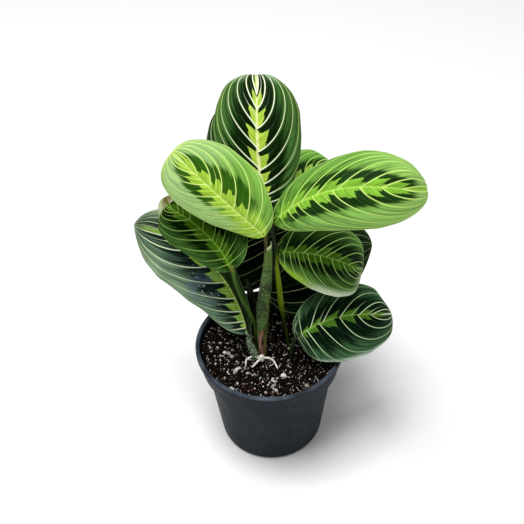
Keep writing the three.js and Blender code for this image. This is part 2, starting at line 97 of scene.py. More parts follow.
RIM_SHARES = (0.86, 0.8, 0.72)    # and how narrow each of those rings is

# ---------------------------------------------------------------- the leaves
# Most values from midrib to curl were fitted to outlines placed on the photo, then
# rounded.
# midrib   four control points of the curve from the stalk to the tip
# face     which way the upper side looks at the base and at the tip
# half     widest half on the left and on the right, seen from above with the tip ahead
# lift     slope of the blade beside the midrib, in degrees, left and right
# curl     how far each half bends down from there to its margin, in degrees
# wave     height of the waves in the margin, how many, and where each side starts
# stalk    points from the foot to the blade
# radius   of the stalk, at places spread evenly from the foot to the blade
# stem     finish of the stalk
# tip_roll share of the length past which the tip rolls under, and on what radius; a
#          negative radius rolls it up
# bow      0 where the side veins run off straight, 1 where they bow; left and right
# veins    where the side veins leave the midrib, as shares of its length
# swept    in place of bow and veins, where they run off long and straight: rise of a vein
#          towards the margin, step from one to the next, and number at the stalk
# roll     how far the outermost fifth of each half is rolled under, in millimetres
# blunt    exponents of the outline's base, left and right, where they are not BASE_ROUNDNESS
LEAVES = {
    "leaf_top": dict(
        midrib=((1, 5, 199.5), (-7.5, 29, 225), (-1.5, 41, 263), (-3.5, 73.5, 257)),
        face=((-0.02, -0.68, 0.73), (0.05, -0.68, 0.73)),
        half=(27, 28), lift=(11, 9), curl=(17, 19), wave=(0.6, 2.5, 0.1, 0.6), roll=(0.6, 0.6),
        tip_roll=(0.945, 2.6),
        stalk=((1.2, -3, 168), (1.5, -0.9, 178), (1, 2.2, 188), (0.6, 4.6, 196)), radius=(1, 1), stem="dim",
        bow=(0.1, 0.9), veins=((0.05, 0.1, 0.16, 0.24, 0.36, 0.49, 0.62, 0.74),
                               (0.04, 0.085, 0.15, 0.235, 0.345, 0.49, 0.62, 0.74)),
        slot="leaf_dark", look="dark_upright"),
    "leaf_upper_left": dict(
        midrib=((-1, -7.5, 189.5), (-21, 0, 206), (-46.5, 16, 226.5), (-55, 17.5, 236)),
        face=((-0.4, -0.92, 0.03), (0.23, -0.72, 0.66)),
        half=(27, 27.5), lift=(4, 8), curl=(50, 36), wave=(0.8, 3, 0.2, 0.7), roll=(0.4, 0.4),
        stalk=((-0.4, -5.9, 168), (-0.4, -5.2, 178), (-0.7, -6.8, 186)), radius=(1, 1.1), stem="brown",
        bow=(0.2, 0.9), veins=((0.05, 0.1, 0.16, 0.23, 0.32, 0.42, 0.54, 0.67),
                               (0.04, 0.11, 0.19, 0.3, 0.42, 0.52, 0.65, 0.76)),
        slot="leaf_bright", look="bright_left"),
    "leaf_upper_right": dict(
        midrib=((4, -1.5, 195.5), (37.5, -14, 245), (77, -35.5, 237.5), (97, -5, 218.5)),
        face=((-0.22, -0.51, 0.83), (-0.18, -0.78, 0.6)),
        half=(23.5, 25.5), lift=(8, 5), curl=(37, 44), wave=(0.8, 2.5, 0, 0.4), roll=(0.4, 0.4),
        tip_roll=(0.95, 3.6),
        stalk=((2.4, -5.5, 155), (4.3, -3.6, 166), (4.8, -1.8, 178), (3.4, -1.3, 190)), radius=(1.1, 1.1),
        stem="dim",
        bow=(0.1, 1), veins=((0.05, 0.1, 0.165, 0.24, 0.35, 0.48, 0.6, 0.73),
                             (0.045, 0.09, 0.145, 0.225, 0.33, 0.475, 0.6, 0.73)),
        slot="leaf_bright", look="bright_right"),
    "leaf_rear_right": dict(
        midrib=((9, 30, 185.5), (15, 49, 192), (41.5, 63, 193.5), (48, 81.5, 180.5)),
        face=((0.52, -0.31, 0.8), (0.53, -0.33, 0.78)),
        half=(19, 23), lift=(8, 8), curl=(27, 25), wave=(0.6, 2.5, 0.3, 0.8), roll=(0.3, 0.3),
        stalk=((2, 15.3, 140), (2.5, 16.8, 149), (4.2, 19.5, 160), (7.5, 26.5, 175)), radius=(0.9, 1),
        stem="dim",
        bow=(0.7, 0.7), veins=((0.06, 0.13, 0.22, 0.34, 0.48, 0.62, 0.75),
                               (0.05, 0.11, 0.2, 0.31, 0.44, 0.58, 0.72)),
        slot="leaf_bright", look="bright_rear"),
    "leaf_left_middle": dict(
        midrib=((-22.5, -12, 166.5), (-37, 20, 182.5), (-67.5, 23, 191), (-63.5, 41, 179.5)),
        face=((-0.3, -0.34, 0.89), (-0.35, -0.38, 0.86)),
        half=(20, 28.5), lift=(8, 6), curl=(28, 26), wave=(1.6, 2.6, 0.45, 0.1), roll=(0.8, 0.5),
        tip_roll=(0.87, -4.5),
        stalk=((-9, 0, 74), (-9.2, -2, 95), (-9.6, -6, 110), (-12.4, -8.5, 124), (-16.6, -11.5, 140),
               (-20.8, -14, 160)), radius=(1.4, 1.4, 1.35, 1.3, 1.3, 1.35, 1.7, 1.45, 1.35, 1.25, 1.1, 1),
        stem="green",
        bow=(0.6, 0.5), veins=((0.04, 0.08, 0.14, 0.24, 0.36, 0.5, 0.64),
                               (0.04, 0.09, 0.15, 0.23, 0.34, 0.48, 0.63)),
        slot="leaf_shaded", look="shaded_left"),
    "leaf_left_lower": dict(
        midrib=((-15, -2.5, 98), (-24, 36, 132), (-65.5, 59.5, 144.5), (-90.5, 45, 160.5)),
        face=((-0.45, -0.88, 0.12), (0, -0.8, 0.6)),
        half=(34, 32.5), lift=(22, 41), curl=(4, -30), wave=(1.2, 3.2, 0.1, 0.5), roll=(0.6, 0.4),
        stalk=((-8.2, -12.6, 74), (-10.4, -11.4, 86), (-14, -6, 93.5)), radius=(3, 2.9, 2.6, 2, 1.3),
        stem="hairy",
        bow=(0.8, 0.4), veins=((0.03, 0.06, 0.11, 0.18, 0.28, 0.4, 0.55, 0.7),
                               (0.04, 0.09, 0.16, 0.25, 0.36, 0.49, 0.63)),
        slot="leaf_dark", look="dark_bluish"),
    "leaf_left_rear": dict(
        midrib=((21, 42, 157), (-10.5, 46.5, 153), (-31.5, 49, 139), (-48.5, 64.5, 131)),
        face=((-0.44, -0.65, 0.62), (-0.44, -0.66, 0.61)),
        half=(40.9, 31.5), lift=(8, 8), curl=(18, 20), wave=(0.8, 2.5, 0.2, 0.6), roll=(0.4, 0.4),
        stalk=((-11, 16, 74), (-14, 34, 104), (-8, 46, 127), (6, 49.5, 143), (18, 46, 151)),
        radius=(1.2, 1.1), stem="dim",
        swept=(0.38, 0.21, 0.54),
        slot="leaf_dark", look="dark_rear"),
    "leaf_right_middle": dict(
        midrib=((6.3, 0.7, 169), (39.2, 3.1, 168.4), (61, 4, 147), (65.8, 24.6, 129)),
        face=((0.56, -0.73, 0.39), (0.55, -0.75, 0.37)),
        half=(23.6, 24), lift=(8, 5), curl=(32.5, -8), wave=(1, 2.5, 0.3, 0.1), roll=(0.6, 1.0),
        stalk=((14.5, -4, 74), (11.6, -0.5, 98.5), (8.4, -1, 124), (6.8, -2, 147), (6, -1.8, 157.4),
               (5.2, -0.4, 165.5)), radius=(1, 1, 1.1, 2, 1.9, 1.7, 1.5, 1.4, 1.4, 1.4, 1.4), stem="olive",
        bow=(0.3, 1), veins=((0.05, 0.11, 0.18, 0.27, 0.37, 0.49, 0.62),
                             (0.045, 0.085, 0.14, 0.215, 0.32, 0.43, 0.56, 0.69)),
        slot="leaf_shaded", look="shaded_right"),
    "leaf_right_lower": dict(
        midrib=((17.5, -19.6, 111.2), (48.7, 5.7, 115.2), (74.2, -10.1, 117.7), (87.1, 12.9, 97.6)),
        face=((0.41, -0.61, 0.68), (0.41, -0.58, 0.71)), blunt=(0.47, 0.28),
        half=(23.2, 30.3), lift=(4.5, 9), curl=(25, 10), wave=(0.8, 3, 0, 0.5), roll=(0.5, 0.5),
        stalk=((16, -14, 74), (14.2, -18.5, 94), (15, -21, 106)), radius=(1.3, 1.2), stem="dim",
        bow=(0.2, 0.8), veins=((0.015, 0.04, 0.105, 0.205, 0.355, 0.535, 0.68),
                               (0.01, 0.04, 0.08, 0.18, 0.35, 0.52, 0.66)),
        slot="leaf_dark", look="dark_lower"),
    "leaf_right_rear": dict(
        midrib=((-1.5, 28, 112), (18, 32, 113.5), (51, 46.5, 131.5), (77.5, 58, 123.5)),
        face=((0.14, -0.65, 0.74), (0.25, -0.83, 0.5)),
        half=(31, 34), lift=(8, 8), curl=(24, 25), wave=(0.8, 2.5, 0.5, 0.9), roll=(0.4, 0.4),
        stalk=((-1, 20, 74), (-3, 22, 94), (-3.5, 26, 106)), radius=(1.2, 1.1), stem="dim",
        swept=(0.35, 0.31, 0.35),
        slot="leaf_dark", look="dark_rear"),
    "leaf_top_rear": dict(
        midrib=((-2, 30, 197), (-10, 48.5, 211.5), (-14.5, 69.5, 221.5), (-17.5, 93.5, 228)),
        face=((-0.1, -0.45, 0.89), (-0.1, -0.45, 0.89)),
        half=(27, 26), lift=(8, 8), curl=(19, 20), wave=(0.6, 2.5, 0, 0.5), roll=(0.4, 0.4),
        stalk=((-1.2, 15, 140), (-1, 16.8, 149), (-1.2, 20, 164), (-2.2, 27, 186)), radius=(0.9, 1),
        stem="dim",
        bow=(0.5, 0.7), veins=((0.06, 0.14, 0.24, 0.36, 0.5, 0.65),
                               (0.05, 0.12, 0.22, 0.34, 0.48, 0.63)),
        slot="leaf_dark", look="dark_rear"),
}

# finish of the stalks: low down, up to the joint, its streaks, the joint below the blade,
# and how thick the pale hairs are
STEMS = {
    # the dim finish is darkened to paint the shade that these stalks stand in under the blades
    "dim": dict(foot="#16200B", green="#18240E", pale="#26361A", joint="#2A3216"),
    "brown": dict(foot="#2A2E12", green="#3A3A16", pale="#55501F", joint="#7A5424"),
    "green": dict(foot="#4E6620", green="#24400F", pale="#466426", joint="#625A2A"),
    "olive": dict(foot="#1E3010", green="#546A08", pale="#7A8C18", joint="#2E3810"),
    "hairy": dict(foot="#1E3018", green="#2A4020", pale="#4A6040", joint="#34482A", hair=0.75),
}

# Colours and pattern of each upper side.
# dark     the dark zone, mid and margin the ground from there to the margin
# feather  the light toothed band beside the midrib, and rib the line on the midrib
# vein     side veins at the midrib, and vein_end at the margin
# teeth    height of the feather beside a vein, at a tooth's point, at the foot of its steep
#          side and at the next vein, as shares of the half width, then the places of the
#          point and of the foot between two veins
# fade     where along the leaf the teeth start and stop to shrink, and to what share
# zone     where the dark zone ends on the left half, near the base and near the tip, the
#          same on the right half, how soft its end is, from which share of the length it
#          shows on the left and on the right, and up to which share
# stripe   strength of the fine stripes along the veins
# line     width of the side veins at the midrib and at the margin, in millimetres
# edge     how much of the margin's own thin line shows
# core     how wide the light line on the midrib is at the stalk, against 0.9 mm
# gloss    weight of the skin's reflection
# patches  (from, to) along the leaf, (from, to) from the left margin at 0 to the right one
#          at 1, softness along and across, colour and strength
# shadings the same, but laid over the veins and the feather too
# residue_and_painted_sheen  (from, to) along and across of the chalky spots, and of the
#          painted blue-grey sheen round them
ALL = (-0.1, 1.1)                 # a span or a band that takes in the whole leaf
LOOKS = {
    "dark_upright": dict(
        dark="#071C02", mid="#1C3D14", margin="#3E622C", feather="#A8C842", vein="#F2F8DE", rib="#F2F4B4",
        vein_end="#A8CA6E",
        teeth=(0.12, 0.28, 0.03, 0.03, 0.56, 0.74), fade=(0.42, 0.85, 0.3),
        zone=((0.6, 0.45), (0.62, 0.42), 0.16, (0.0, 0.0), 0.97),
        stripe=0.6, line=(0.7, 0.26), edge=0.06, core=2.2, gloss=0.03,
        patches=(((0.88, 1.1), ALL, 0.07, 0.05, "#8DAE88", 0.6),),
        shadings=(((0.94, 1.1), ALL, 0.03, 0.1, "#54784A", 0.6),)),
    "bright_left": dict(
        dark="#2C570B", mid="#6B9A36", margin="#86B256", feather="#A2CC40", vein="#DCF68E", rib="#D6F07A",
        vein_end="#CFF088",
        teeth=(0.27, 0.32, 0.14, 0.17, 0.5, 0.66), fade=(0.3, 0.82, 0.5),
        zone=((0.44, 0.37), (0.6, 0.3), 0.05, (0.42, 0.2), 0.86),
        stripe=0.32, line=(0.62, 0.34), edge=0.45, core=1.0, gloss=0.07,
        # painted light: the left half, turned away from the key lamp, is laid over with a paler green
        patches=((ALL, (-0.1, 0.36), 0.1, 0.06, "#ADD682", 0.8),
                 ((0.05, 0.8), (0.8, 1.1), 0.15, 0.1, "#6A9C38", 0.7),
                 ((-0.1, 0.2), (-0.1, 0.72), 0.07, 0.08, "#A6D046", 0.85),
                 # painted sheen: a whitish-green wash over the blade from 0.6 of its length to the tip
                 ((0.6, 1.1), ALL, 0.2, 0.05, "#A9C98C", 0.5))),
    "bright_right": dict(
        dark="#15340A", mid="#5A8A2E", margin="#6E9C44", feather="#7FB536", vein="#D0F080", rib="#B4E05A",
        vein_end="#BEE674",
        teeth=(0.2, 0.27, 0.09, 0.12, 0.56, 0.72), fade=(0.4, 0.8, 0.6),
        zone=((0.44, 0.3), (0.52, 0.28), 0.05, (0.2, 0.06), 0.84),
        stripe=0.42, line=(0.6, 0.34), edge=0.45, core=1.0, gloss=0.07,
        patches=(((0.6, 1.1), ALL, 0.2, 0.05, "#9CC868", 0.7),
                 ((0.1, 0.7), (0.75, 1.1), 0.2, 0.1, "#86B45A", 0.6))),
    "bright_rear": dict(
        dark="#15380C", mid="#528E30", margin="#76AA48", feather="#A6D24C", vein="#CBEF78", rib="#B4E05A",
        vein_end="#B4DA6C",
        teeth=(0.2, 0.28, 0.08, 0.1, 0.56, 0.74), fade=(0.4, 0.85, 0.4),
        zone=((0.5, 0.35), (0.5, 0.35), 0.08, (0.05, 0.05), 0.9),
        stripe=0.42, line=(0.6, 0.34), edge=0.3, core=1.0, gloss=0.08, patches=()),
    "shaded_left": dict(
        dark="#051302", mid="#18300A", margin="#3A5C28", feather="#32520C", vein="#86A656", rib="#5C8A22",
        vein_end="#7C9E54",
        teeth=(0.24, 0.28, 0.18, 0.22, 0.58, 0.7), fade=(0.4, 0.85, 0.5),
        zone=((0.52, 0.42), (0.52, 0.42), 0.12, (0.2, 0.2), 0.9),
        stripe=0.45, line=(0.42, 0.26), edge=0.2, core=1.0, gloss=0.0,
        patches=(((0.9, 1.1), ALL, 0.05, 0.05, "#C4C8A6", 0.85),),
        shadings=(((0.93, 1.1), (0.3, 1.1), 0.03, 0.1, "#6B5632", 0.8),)),
    "dark_bluish": dict(
        dark="#15241F", mid="#526E58", margin="#88A484", feather="#9ACA4E", vein="#F4FFD6", rib="#DDF290",
        vein_end="#C4D8A8",
        teeth=(0.16, 0.3, 0.07, 0.08, 0.58, 0.74), fade=(0.45, 0.85, 0.4),
        zone=((0.55, 0.35), (0.55, 0.35), 0.2, (0.0, 0.0), 0.97),
        stripe=0.45, line=(0.84, 0.42), edge=0.1, core=2.0, gloss=0.0,
        patches=(((-0.1, 0.4), (-0.1, 0.5), 0.15, 0.06, "#4A6A56", 0.45),),
        residue_and_painted_sheen=((0.22, 0.42), (0.08, 0.46)),
        # painted shadow: the strip right of the midrib is darkened over veins and feather as if in shade
        shadings=(((-0.1, 0.75), (0.53, 1.1), 0.05, 0.012, "#18280C", 0.95),
                  ((0.93, 1.1), ALL, 0.04, 0.1, "#4E6C50", 0.65))),
    "shaded_right": dict(
        dark="#0A1C05", mid="#2A4814", margin="#5E8C3E", feather="#3C6212", vein="#A8CC74", rib="#6E9A30",
        vein_end="#9CC070",
        teeth=(0.22, 0.27, 0.16, 0.18, 0.56, 0.7), fade=(0.4, 0.85, 0.5),
        zone=((0.52, 0.37), (0.5, 0.35), 0.12, (0.05, 0.05), 0.85),
        stripe=0.45, line=(0.48, 0.28), edge=0.3, core=1.0, gloss=0.02,
        # painted highlight: a near-white band along the curled-down right margin
        patches=(((0.3, 0.97), (0.93, 1.1), 0.2, 0.07, "#ECF6DE", 0.95),
                 ((-0.1, 0.25), (0.88, 1.1), 0.12, 0.06, "#8DB02A", 0.85),
                 # painted shade: the left half near the base, which lies under the leaf above, is darkened
                 ((-0.1, 0.6), (-0.1, 0.3), 0.15, 0.1, "#182C0C", 0.8),
                 ((0.86, 1.1), (0.55, 1.1), 0.1, 0.15, "#C6D2A8", 0.7),
                 ((0.95, 1.1), ALL, 0.05, 0.05, "#6B4A26", 0.7))),
    "dark_lower": dict(
        dark="#05180A", mid="#234024", margin="#3C5C3C", feather="#4E7C22", vein="#DDF2C0", rib="#8CB84C",
        vein_end="#A6C492",
        teeth=(0.04, 0.2, 0.02, 0.02, 0.6, 0.74), fade=(0.5, 0.85, 0.4),
        zone=((0.62, 0.47), (0.62, 0.47), 0.2, (0.0, 0.0), 0.97),
        stripe=0.5, line=(0.56, 0.28), edge=0.2, core=1.1, gloss=0.03,
        patches=(((0.8, 0.96), (0.42, 0.7), 0.12, 0.12, "#5E8069", 0.6),
                 ((-0.1, 0.8), (0.97, 1.1), 0.1, 0.03, "#B9C9BA", 0.6)),
        shadings=(((-0.1, 0.05), ALL, 0.04, 0.1, "#122C1A", 0.75),)),
    "dark_rear": dict(
        dark="#060E06", mid="#0E1E0E", margin="#1E3622", feather="#10200C", vein="#C2D090", rib="#24381A",
        vein_end="#B4C488",
        teeth=(0.1, 0.22, 0.04, 0.05, 0.6, 0.8), fade=(0.4, 0.85, 0.4),
        zone=((0.6, 0.45), (0.6, 0.45), 0.2, (0.0, 0.0), 0.95),
        stripe=0.45, line=(0.44, 0.4), edge=0.1, core=0.5, gloss=0.0, patches=(),
        shadings=(((0.84, 1.1), ALL, 0.08, 0.1, "#14240F", 0.75),)),
}


# ---------------------------------------------------------------- general helpers
def linear(hex_colour):
    """sRGB hex value as a linear colour with full alpha."""
    parts = [int(hex_colour[i:i + 2], 16) / 255 for i in (1, 3, 5)]
    return [c / 12.92 if c <= 0.04045 else ((c + 0.055) / 1.055) ** 2.4 for c in parts] + [1.0]


SMOOTH = dict(interpolation_type="SMOOTHSTEP")
IN_COLOUR = dict(output=2, data_type="RGBA")


def add_node(tree, kind, inputs=(), output=0, **settings):
    """Adds a shader node with its settings, sets or links its inputs, and gives one output.
    A text among the inputs is a colour in hex."""
    made = tree.nodes.new("ShaderNode" + kind)
    for key, value in settings.items():
        setattr(made, key, value)
    for key, value in dict(inputs).items():
        if isinstance(value, bpy.types.NodeSocket):
            tree.links.new(value, made.inputs[key])
        else:
            made.inputs[key].default_value = linear(value) if isinstance(value, str) else value
    return made.outputs[output] if made.outputs else made


def new_material(name):
    """An empty node material and its tree, ready for a surface."""
    material = bpy.data.materials.new(name)
    material.use_nodes = True
    material.node_tree.nodes.clear()
    return material, material.node_tree


def finish_surface(tree, colour, roughness, height, depth, **constants):
    """Principled surface with a bump of the given depth in metres, joined to the output."""
    bump = add_node(tree, "Bump", {"Height": height, "Strength": 1.0, "Distance": depth})
    surface = add_node(tree, "BsdfPrincipled",
                       {"Base Color": colour, "Roughness": roughness, "Normal": bump})
    for socket, value in constants.items():
        surface.node.inputs[socket.replace("_", " ")].default_value = value
    add_node(tree, "OutputMaterial", {"Surface": surface})


def unit(v):
    """Vectors scaled to length 1 along the last axis."""
    return v / np.maximum(np.linalg.norm(v, axis=-1, keepdims=True), 1e-12)


def smooth_step(x, low, high):
    """0 below low, 1 above high, 3x^2 - 2x^3 between."""
    x = np.clip((x - low) / (high - low), 0, 1)
    return x * x * (3 - 2 * x)


def make_piece(name, points, parts, materials, replaced=(), attributes=(), smooth=True):
    """A mesh object from points in millimetres and parts, each a dict with faces (n x 3 or
    n x 4), a material index and, by name, UV maps of n x 3 or n x 4 corners x 2."""
    mesh = bpy.data.meshes.new(name)
    mesh.vertices.add(len(points))
    mesh.vertices.foreach_set("co", (np.asarray(points) * 0.001).astype(np.float32).ravel())
    corners = np.concatenate([part["faces"].ravel() for part in parts])
    sizes = np.concatenate([np.full(len(part["faces"]), part["faces"].shape[1]) for part in parts])
    mesh.loops.add(len(corners))
    mesh.loops.foreach_set("vertex_index", corners.astype(np.int32))
    mesh.polygons.add(len(sizes))
    mesh.polygons.foreach_set("loop_start", (np.cumsum(sizes) - sizes).astype(np.int32))
    mesh.update(calc_edges=True)
    slots = np.concatenate([np.full(len(part["faces"]), part.get("material", 0)) for part in parts])
    mesh.polygons.foreach_set("material_index", slots.astype(np.int32))
    mesh.polygons.foreach_set("use_smooth", np.full(len(sizes), smooth))
    for key in sorted({key for part in parts for key in part.get("maps", {})}):
        values = [part.get("maps", {}).get(key, np.zeros(part["faces"].shape + (2,))) for part in parts]
        values = np.concatenate([value.reshape(-1, 2) for value in values])
        layer = mesh.uv_layers.new(name=key, do_init=False)
        layer.uv.foreach_set("vector", values.astype(np.float32).ravel())
    for key, values in dict(attributes).items():
        kind, field = ("FLOAT", "value") if values.ndim == 1 else ("FLOAT_VECTOR", "vector")
        stored = mesh.attributes.new(key, kind, "POINT")
        stored.data.foreach_set(field, values.astype(np.float32).ravel())
    for material in materials:
        mesh.materials.append(material)
    mesh.validate()
    mesh.update()
    piece = bpy.data.objects.new(name, mesh)
    bpy.context.scene.collection.objects.link(piece)
    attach(piece, "root")
    if replaced:
        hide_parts(*replaced)
    return piece


def grid_faces(rows, columns, closed_round=False):
    """Quads of a grid with rows x columns cells; a round grid joins its last column to its
    first. The points run row by row."""
    across = columns if closed_round else columns + 1
    i, j = np.meshgrid(np.arange(rows), np.arange(columns), indexing="ij")
    right = (j + 1) % across
    here, below = i * across, (i + 1) * across
    return np.stack([here + j, here + right, below + right, below + j], -1)


# ---------------------------------------------------------------- curves and tubes
def smooth_line(points, shares):
    """Centripetal Catmull-Rom curve through the points, at shares of its length by knots:
    on each span a cubic whose end slopes come from knots spaced by the root of the chord."""
    p = np.asarray(points, float)
    p = np.vstack([2 * p[0] - p[1], p, 2 * p[-1] - p[-2]])
    place = np.clip(shares, 0, 1) * (len(points) - 1)
    k = np.minimum(place.astype(int), len(points) - 2)
    w = (place - k)[:, None]
    p0, p1, p2, p3 = p[k], p[k + 1], p[k + 2], p[k + 3]
    spans = ((p0, p1), (p1, p2), (p2, p3))
    d0, d1, d2 = (np.sqrt(np.linalg.norm(b - a, axis=1))[:, None] for a, b in spans)
    m1 = ((p1 - p0) / d0 - (p2 - p0) / (d0 + d1) + (p2 - p1) / d1) * d1
    m2 = ((p2 - p1) / d1 - (p3 - p1) / (d1 + d2) + (p3 - p2) / d2) * d1
    return p1 + m1 * w + (3 * (p2 - p1) - 2 * m1 - m2) * w ** 2 + (2 * (p1 - p2) + m1 + m2) * w ** 3


def fan(hub, ring, sides, backwards=False):
    """Triangles from a hub point to a ring of points, whose first point is given."""
    here = ring + np.arange(sides)
    following = ring + (np.arange(sides) + 1) % sides
    pair = (following, here) if backwards else (here, following)
    return np.stack([np.full(sides, hub), *pair], 1)


def oval_rings(line, ahead, reference, across, through):
    """Rings of points across a line: ellipses whose first axis is the reference direction
    made square to the line."""
    sides = across.shape[1]
    side = unit(reference - ahead * (ahead @ reference)[:, None])
    front = np.cross(ahead, side)
    turn = np.arange(sides) / sides * 2 * np.pi
    return (line[:, None] + side[:, None] * (across * np.cos(turn))[..., None]
            + front[:, None] * (through * np.sin(turn))[..., None])


def closed_tube(rings, line, shares, last):
    """Points, quads and end triangles of a tube from its rings and its line, and (share of
    length, share round) of every point; last is the share at the far end's own point."""
    count, sides = rings.shape[:2]
    hub = count * sides
    points = np.vstack([rings.reshape(-1, 3), line[:1], line[-1:]])
    quads = grid_faces(count - 1, sides, True).reshape(-1, 4)
    ends = np.vstack([fan(hub, 0, sides, True), fan(hub + 1, hub - sides, sides)])
    place = np.stack(np.broadcast_arrays(shares[:, None], (np.arange(sides) / sides)[None]), -1)
    return points, quads, ends, np.vstack([place.reshape(-1, 2), [[0, 0], [last, 0]]])


def round_tube(line, radius, sides):
    """Closed round tube along a line of points that lies nearly in one plane."""
    reference = np.linalg.svd(line - line.mean(0))[2][-1]
    radius = np.broadcast_to(radius[:, None], (len(line), sides))
    rings = oval_rings(line, unit(np.gradient(line, axis=0)), reference, radius, radius)
    length = np.concatenate([[0], np.cumsum(np.linalg.norm(np.diff(line, axis=0), axis=1))])
    return closed_tube(rings, line, length / length[-1], 1)


def map_of(place, faces):
    """Corner values of a map from point values, unwrapped where a face crosses the seam."""
    values = place[faces].copy()
    wide = np.ptp(values[..., 1], axis=1) > 0.5
    values[wide, :, 1] += (values[wide, :, 1] < 0.5)
    return values


# ---------------------------------------------------------------- blades
def outline(s, base=BASE_ROUNDNESS):
    """Half-width of a blade as a share of its widest: s^a (1-s)^b, scaled to reach 1."""
    widest = base / (base + TIP_ROUNDNESS)
    top = widest ** base * (1 - widest) ** TIP_ROUNDNESS
    return s ** base * (1 - s) ** TIP_ROUNDNESS / top


def blade_surface(leaf, s, t):
    """Middle surface and upper normal at arrays of shares s from stalk to tip and t from the
    left margin (-1) to the right margin (1). The midrib is a cubic Bezier curve. Across the
    blade each half is an arc that leaves the midrib at its lift and has turned down by lift
    plus curl at the margin; waves grow with t squared, the outer fifth rolls under, and the
    margin is slightly uneven. Past its fold the tip is wound on a circle, in the plane of
    the midrib and the face."""
    def by_side(pair):
        return np.where(t < 0, pair[0], pair[1])

    p = np.asarray(leaf["midrib"], float)
    u = s[..., None]
    v = 1 - u
    line = v ** 3 * p[0] + 3 * v ** 2 * u * p[1] + 3 * v * u ** 2 * p[2] + u ** 3 * p[3]
    ahead = unit(v ** 2 * (p[1] - p[0]) + 2 * v * u * (p[2] - p[1]) + u ** 2 * (p[3] - p[2]))
    base, tip = np.asarray(leaf["face"], float)
    face = base + (tip - base) * u
    face = unit(face - ahead * (face * ahead).sum(-1, keepdims=True))
    fold, radius = leaf.get("tip_roll", (2.0, 1.0))
    angle = (np.maximum(s - fold, 0) * 3 * np.linalg.norm(p[3] - p[2]) / radius)[..., None]
    line = line + ahead * radius * (np.sin(angle) - angle) - face * radius * (1 - np.cos(angle))
    ahead, face = ahead * np.cos(angle) - face * np.sin(angle), face * np.cos(angle) + ahead * np.sin(angle)
    right = np.cross(ahead, face)
    sign, reach = np.where(t < 0, -1.0, 1.0), np.abs(t)
    width = by_side(leaf["half"]) * outline(s, by_side(leaf.get("blunt", (BASE_ROUNDNESS, BASE_ROUNDNESS))))
    swing = np.sin(19 * s + 2.1 * sign) + 0.6 * np.sin(37 * s + 4 * sign)
    width = width * (1 + UNEVEN_MARGIN * swing * reach ** 4)
    lift = np.radians(by_side(leaf["lift"]))
    turn = -lift - np.radians(by_side(leaf["curl"]))
    turn = np.where(np.abs(turn) < 1e-4, -1e-4, turn)
    slope = lift + turn * reach
    outward = (np.sin(slope) - np.sin(lift)) / turn * width
    up = (np.cos(lift) - np.cos(slope)) / turn * width
    height, count, start_left, start_right = leaf["wave"]
    phase = 2 * np.pi * (count * s + by_side((start_left, start_right)))
    up = up + height * reach ** 2 * np.sin(phase) * np.sqrt(outline(s))
    rolled = np.clip((reach - 0.8) / 0.2, 0, 1) * np.sqrt(outline(s))
    up = up - by_side(leaf["roll"]) * rolled ** 2
    outward = outward - 0.4 * by_side(leaf["roll"]) * rolled ** 3
    point = line + right * (sign * outward)[..., None] + face * up[..., None]
    normal = unit(face * np.cos(slope)[..., None] - right * (sign * np.sin(slope))[..., None])
    return point, normal


def vein_origin(s, reach, bow):
    """Where on the midrib the side vein through (s, reach) starts. A vein that starts at q
    runs along s = q + a(q) L^p with L = -log(1 - reach / T(q)): it nears its own line T(q),
    short of the margin, and a(q) grows from 0 at the base. Solved by halving."""
    gain, power, ramp = 0.2 + (0.125 - 0.2) * bow, 0.75 + 0.55 * bow, 0.08 + 0.09 * bow
    drop, bend = 1.3 + 0.27 * bow, 1.9 - 0.23 * bow
    top = 1.03
    reach = np.minimum(reach, 1.0)
    high = ((top - reach) / drop) ** (1 / bend)
    low = np.zeros_like(high) - 0.35
    for _ in range(32):
        q = (low + high) / 2
        limit = top - drop * np.maximum(q, 0) ** bend
        spread = -np.log(np.maximum(1 - reach / limit, 1e-9))
        ahead = q + gain * (1 - np.exp(-(q / ramp) ** 2)) * spread ** power > s
        high = np.where(ahead, q, high)
        low = np.where(ahead, low, q)
    return (low + high) / 2


def vein_number(origin, veins):
    """Number of the side vein at a place on the midrib, counting on past both ends."""
    first, last = veins[0], veins[-1]
    places = [first - 3 * VEIN_STEP_BEFORE, *veins, last + VEIN_STEP_AFTER, last + 3 * VEIN_STEP_AFTER]
    numbers = [-2, *range(1, len(veins) + 2), len(veins) + 3]
    return np.interp(origin, places, numbers)


def spacing_of(points, number):
    """Millimetres between side veins: 1 over the slope of the vein number on the surface,
    found from its differences along both grid directions and the surface's metric."""
    ps, pt = np.gradient(points, axis=0), np.gradient(points, axis=1)
    ns, nt = np.gradient(number, axis=0), np.gradient(number, axis=1)
    e, f, g = (ps * ps).sum(-1), (ps * pt).sum(-1), (pt * pt).sum(-1)
    det = np.maximum(e * g - f * f, 1e-9)
    square = (g * ns * ns - 2 * f * ns * nt + e * nt * nt) / det
    return 1 / np.sqrt(np.maximum(square, 1e-4))


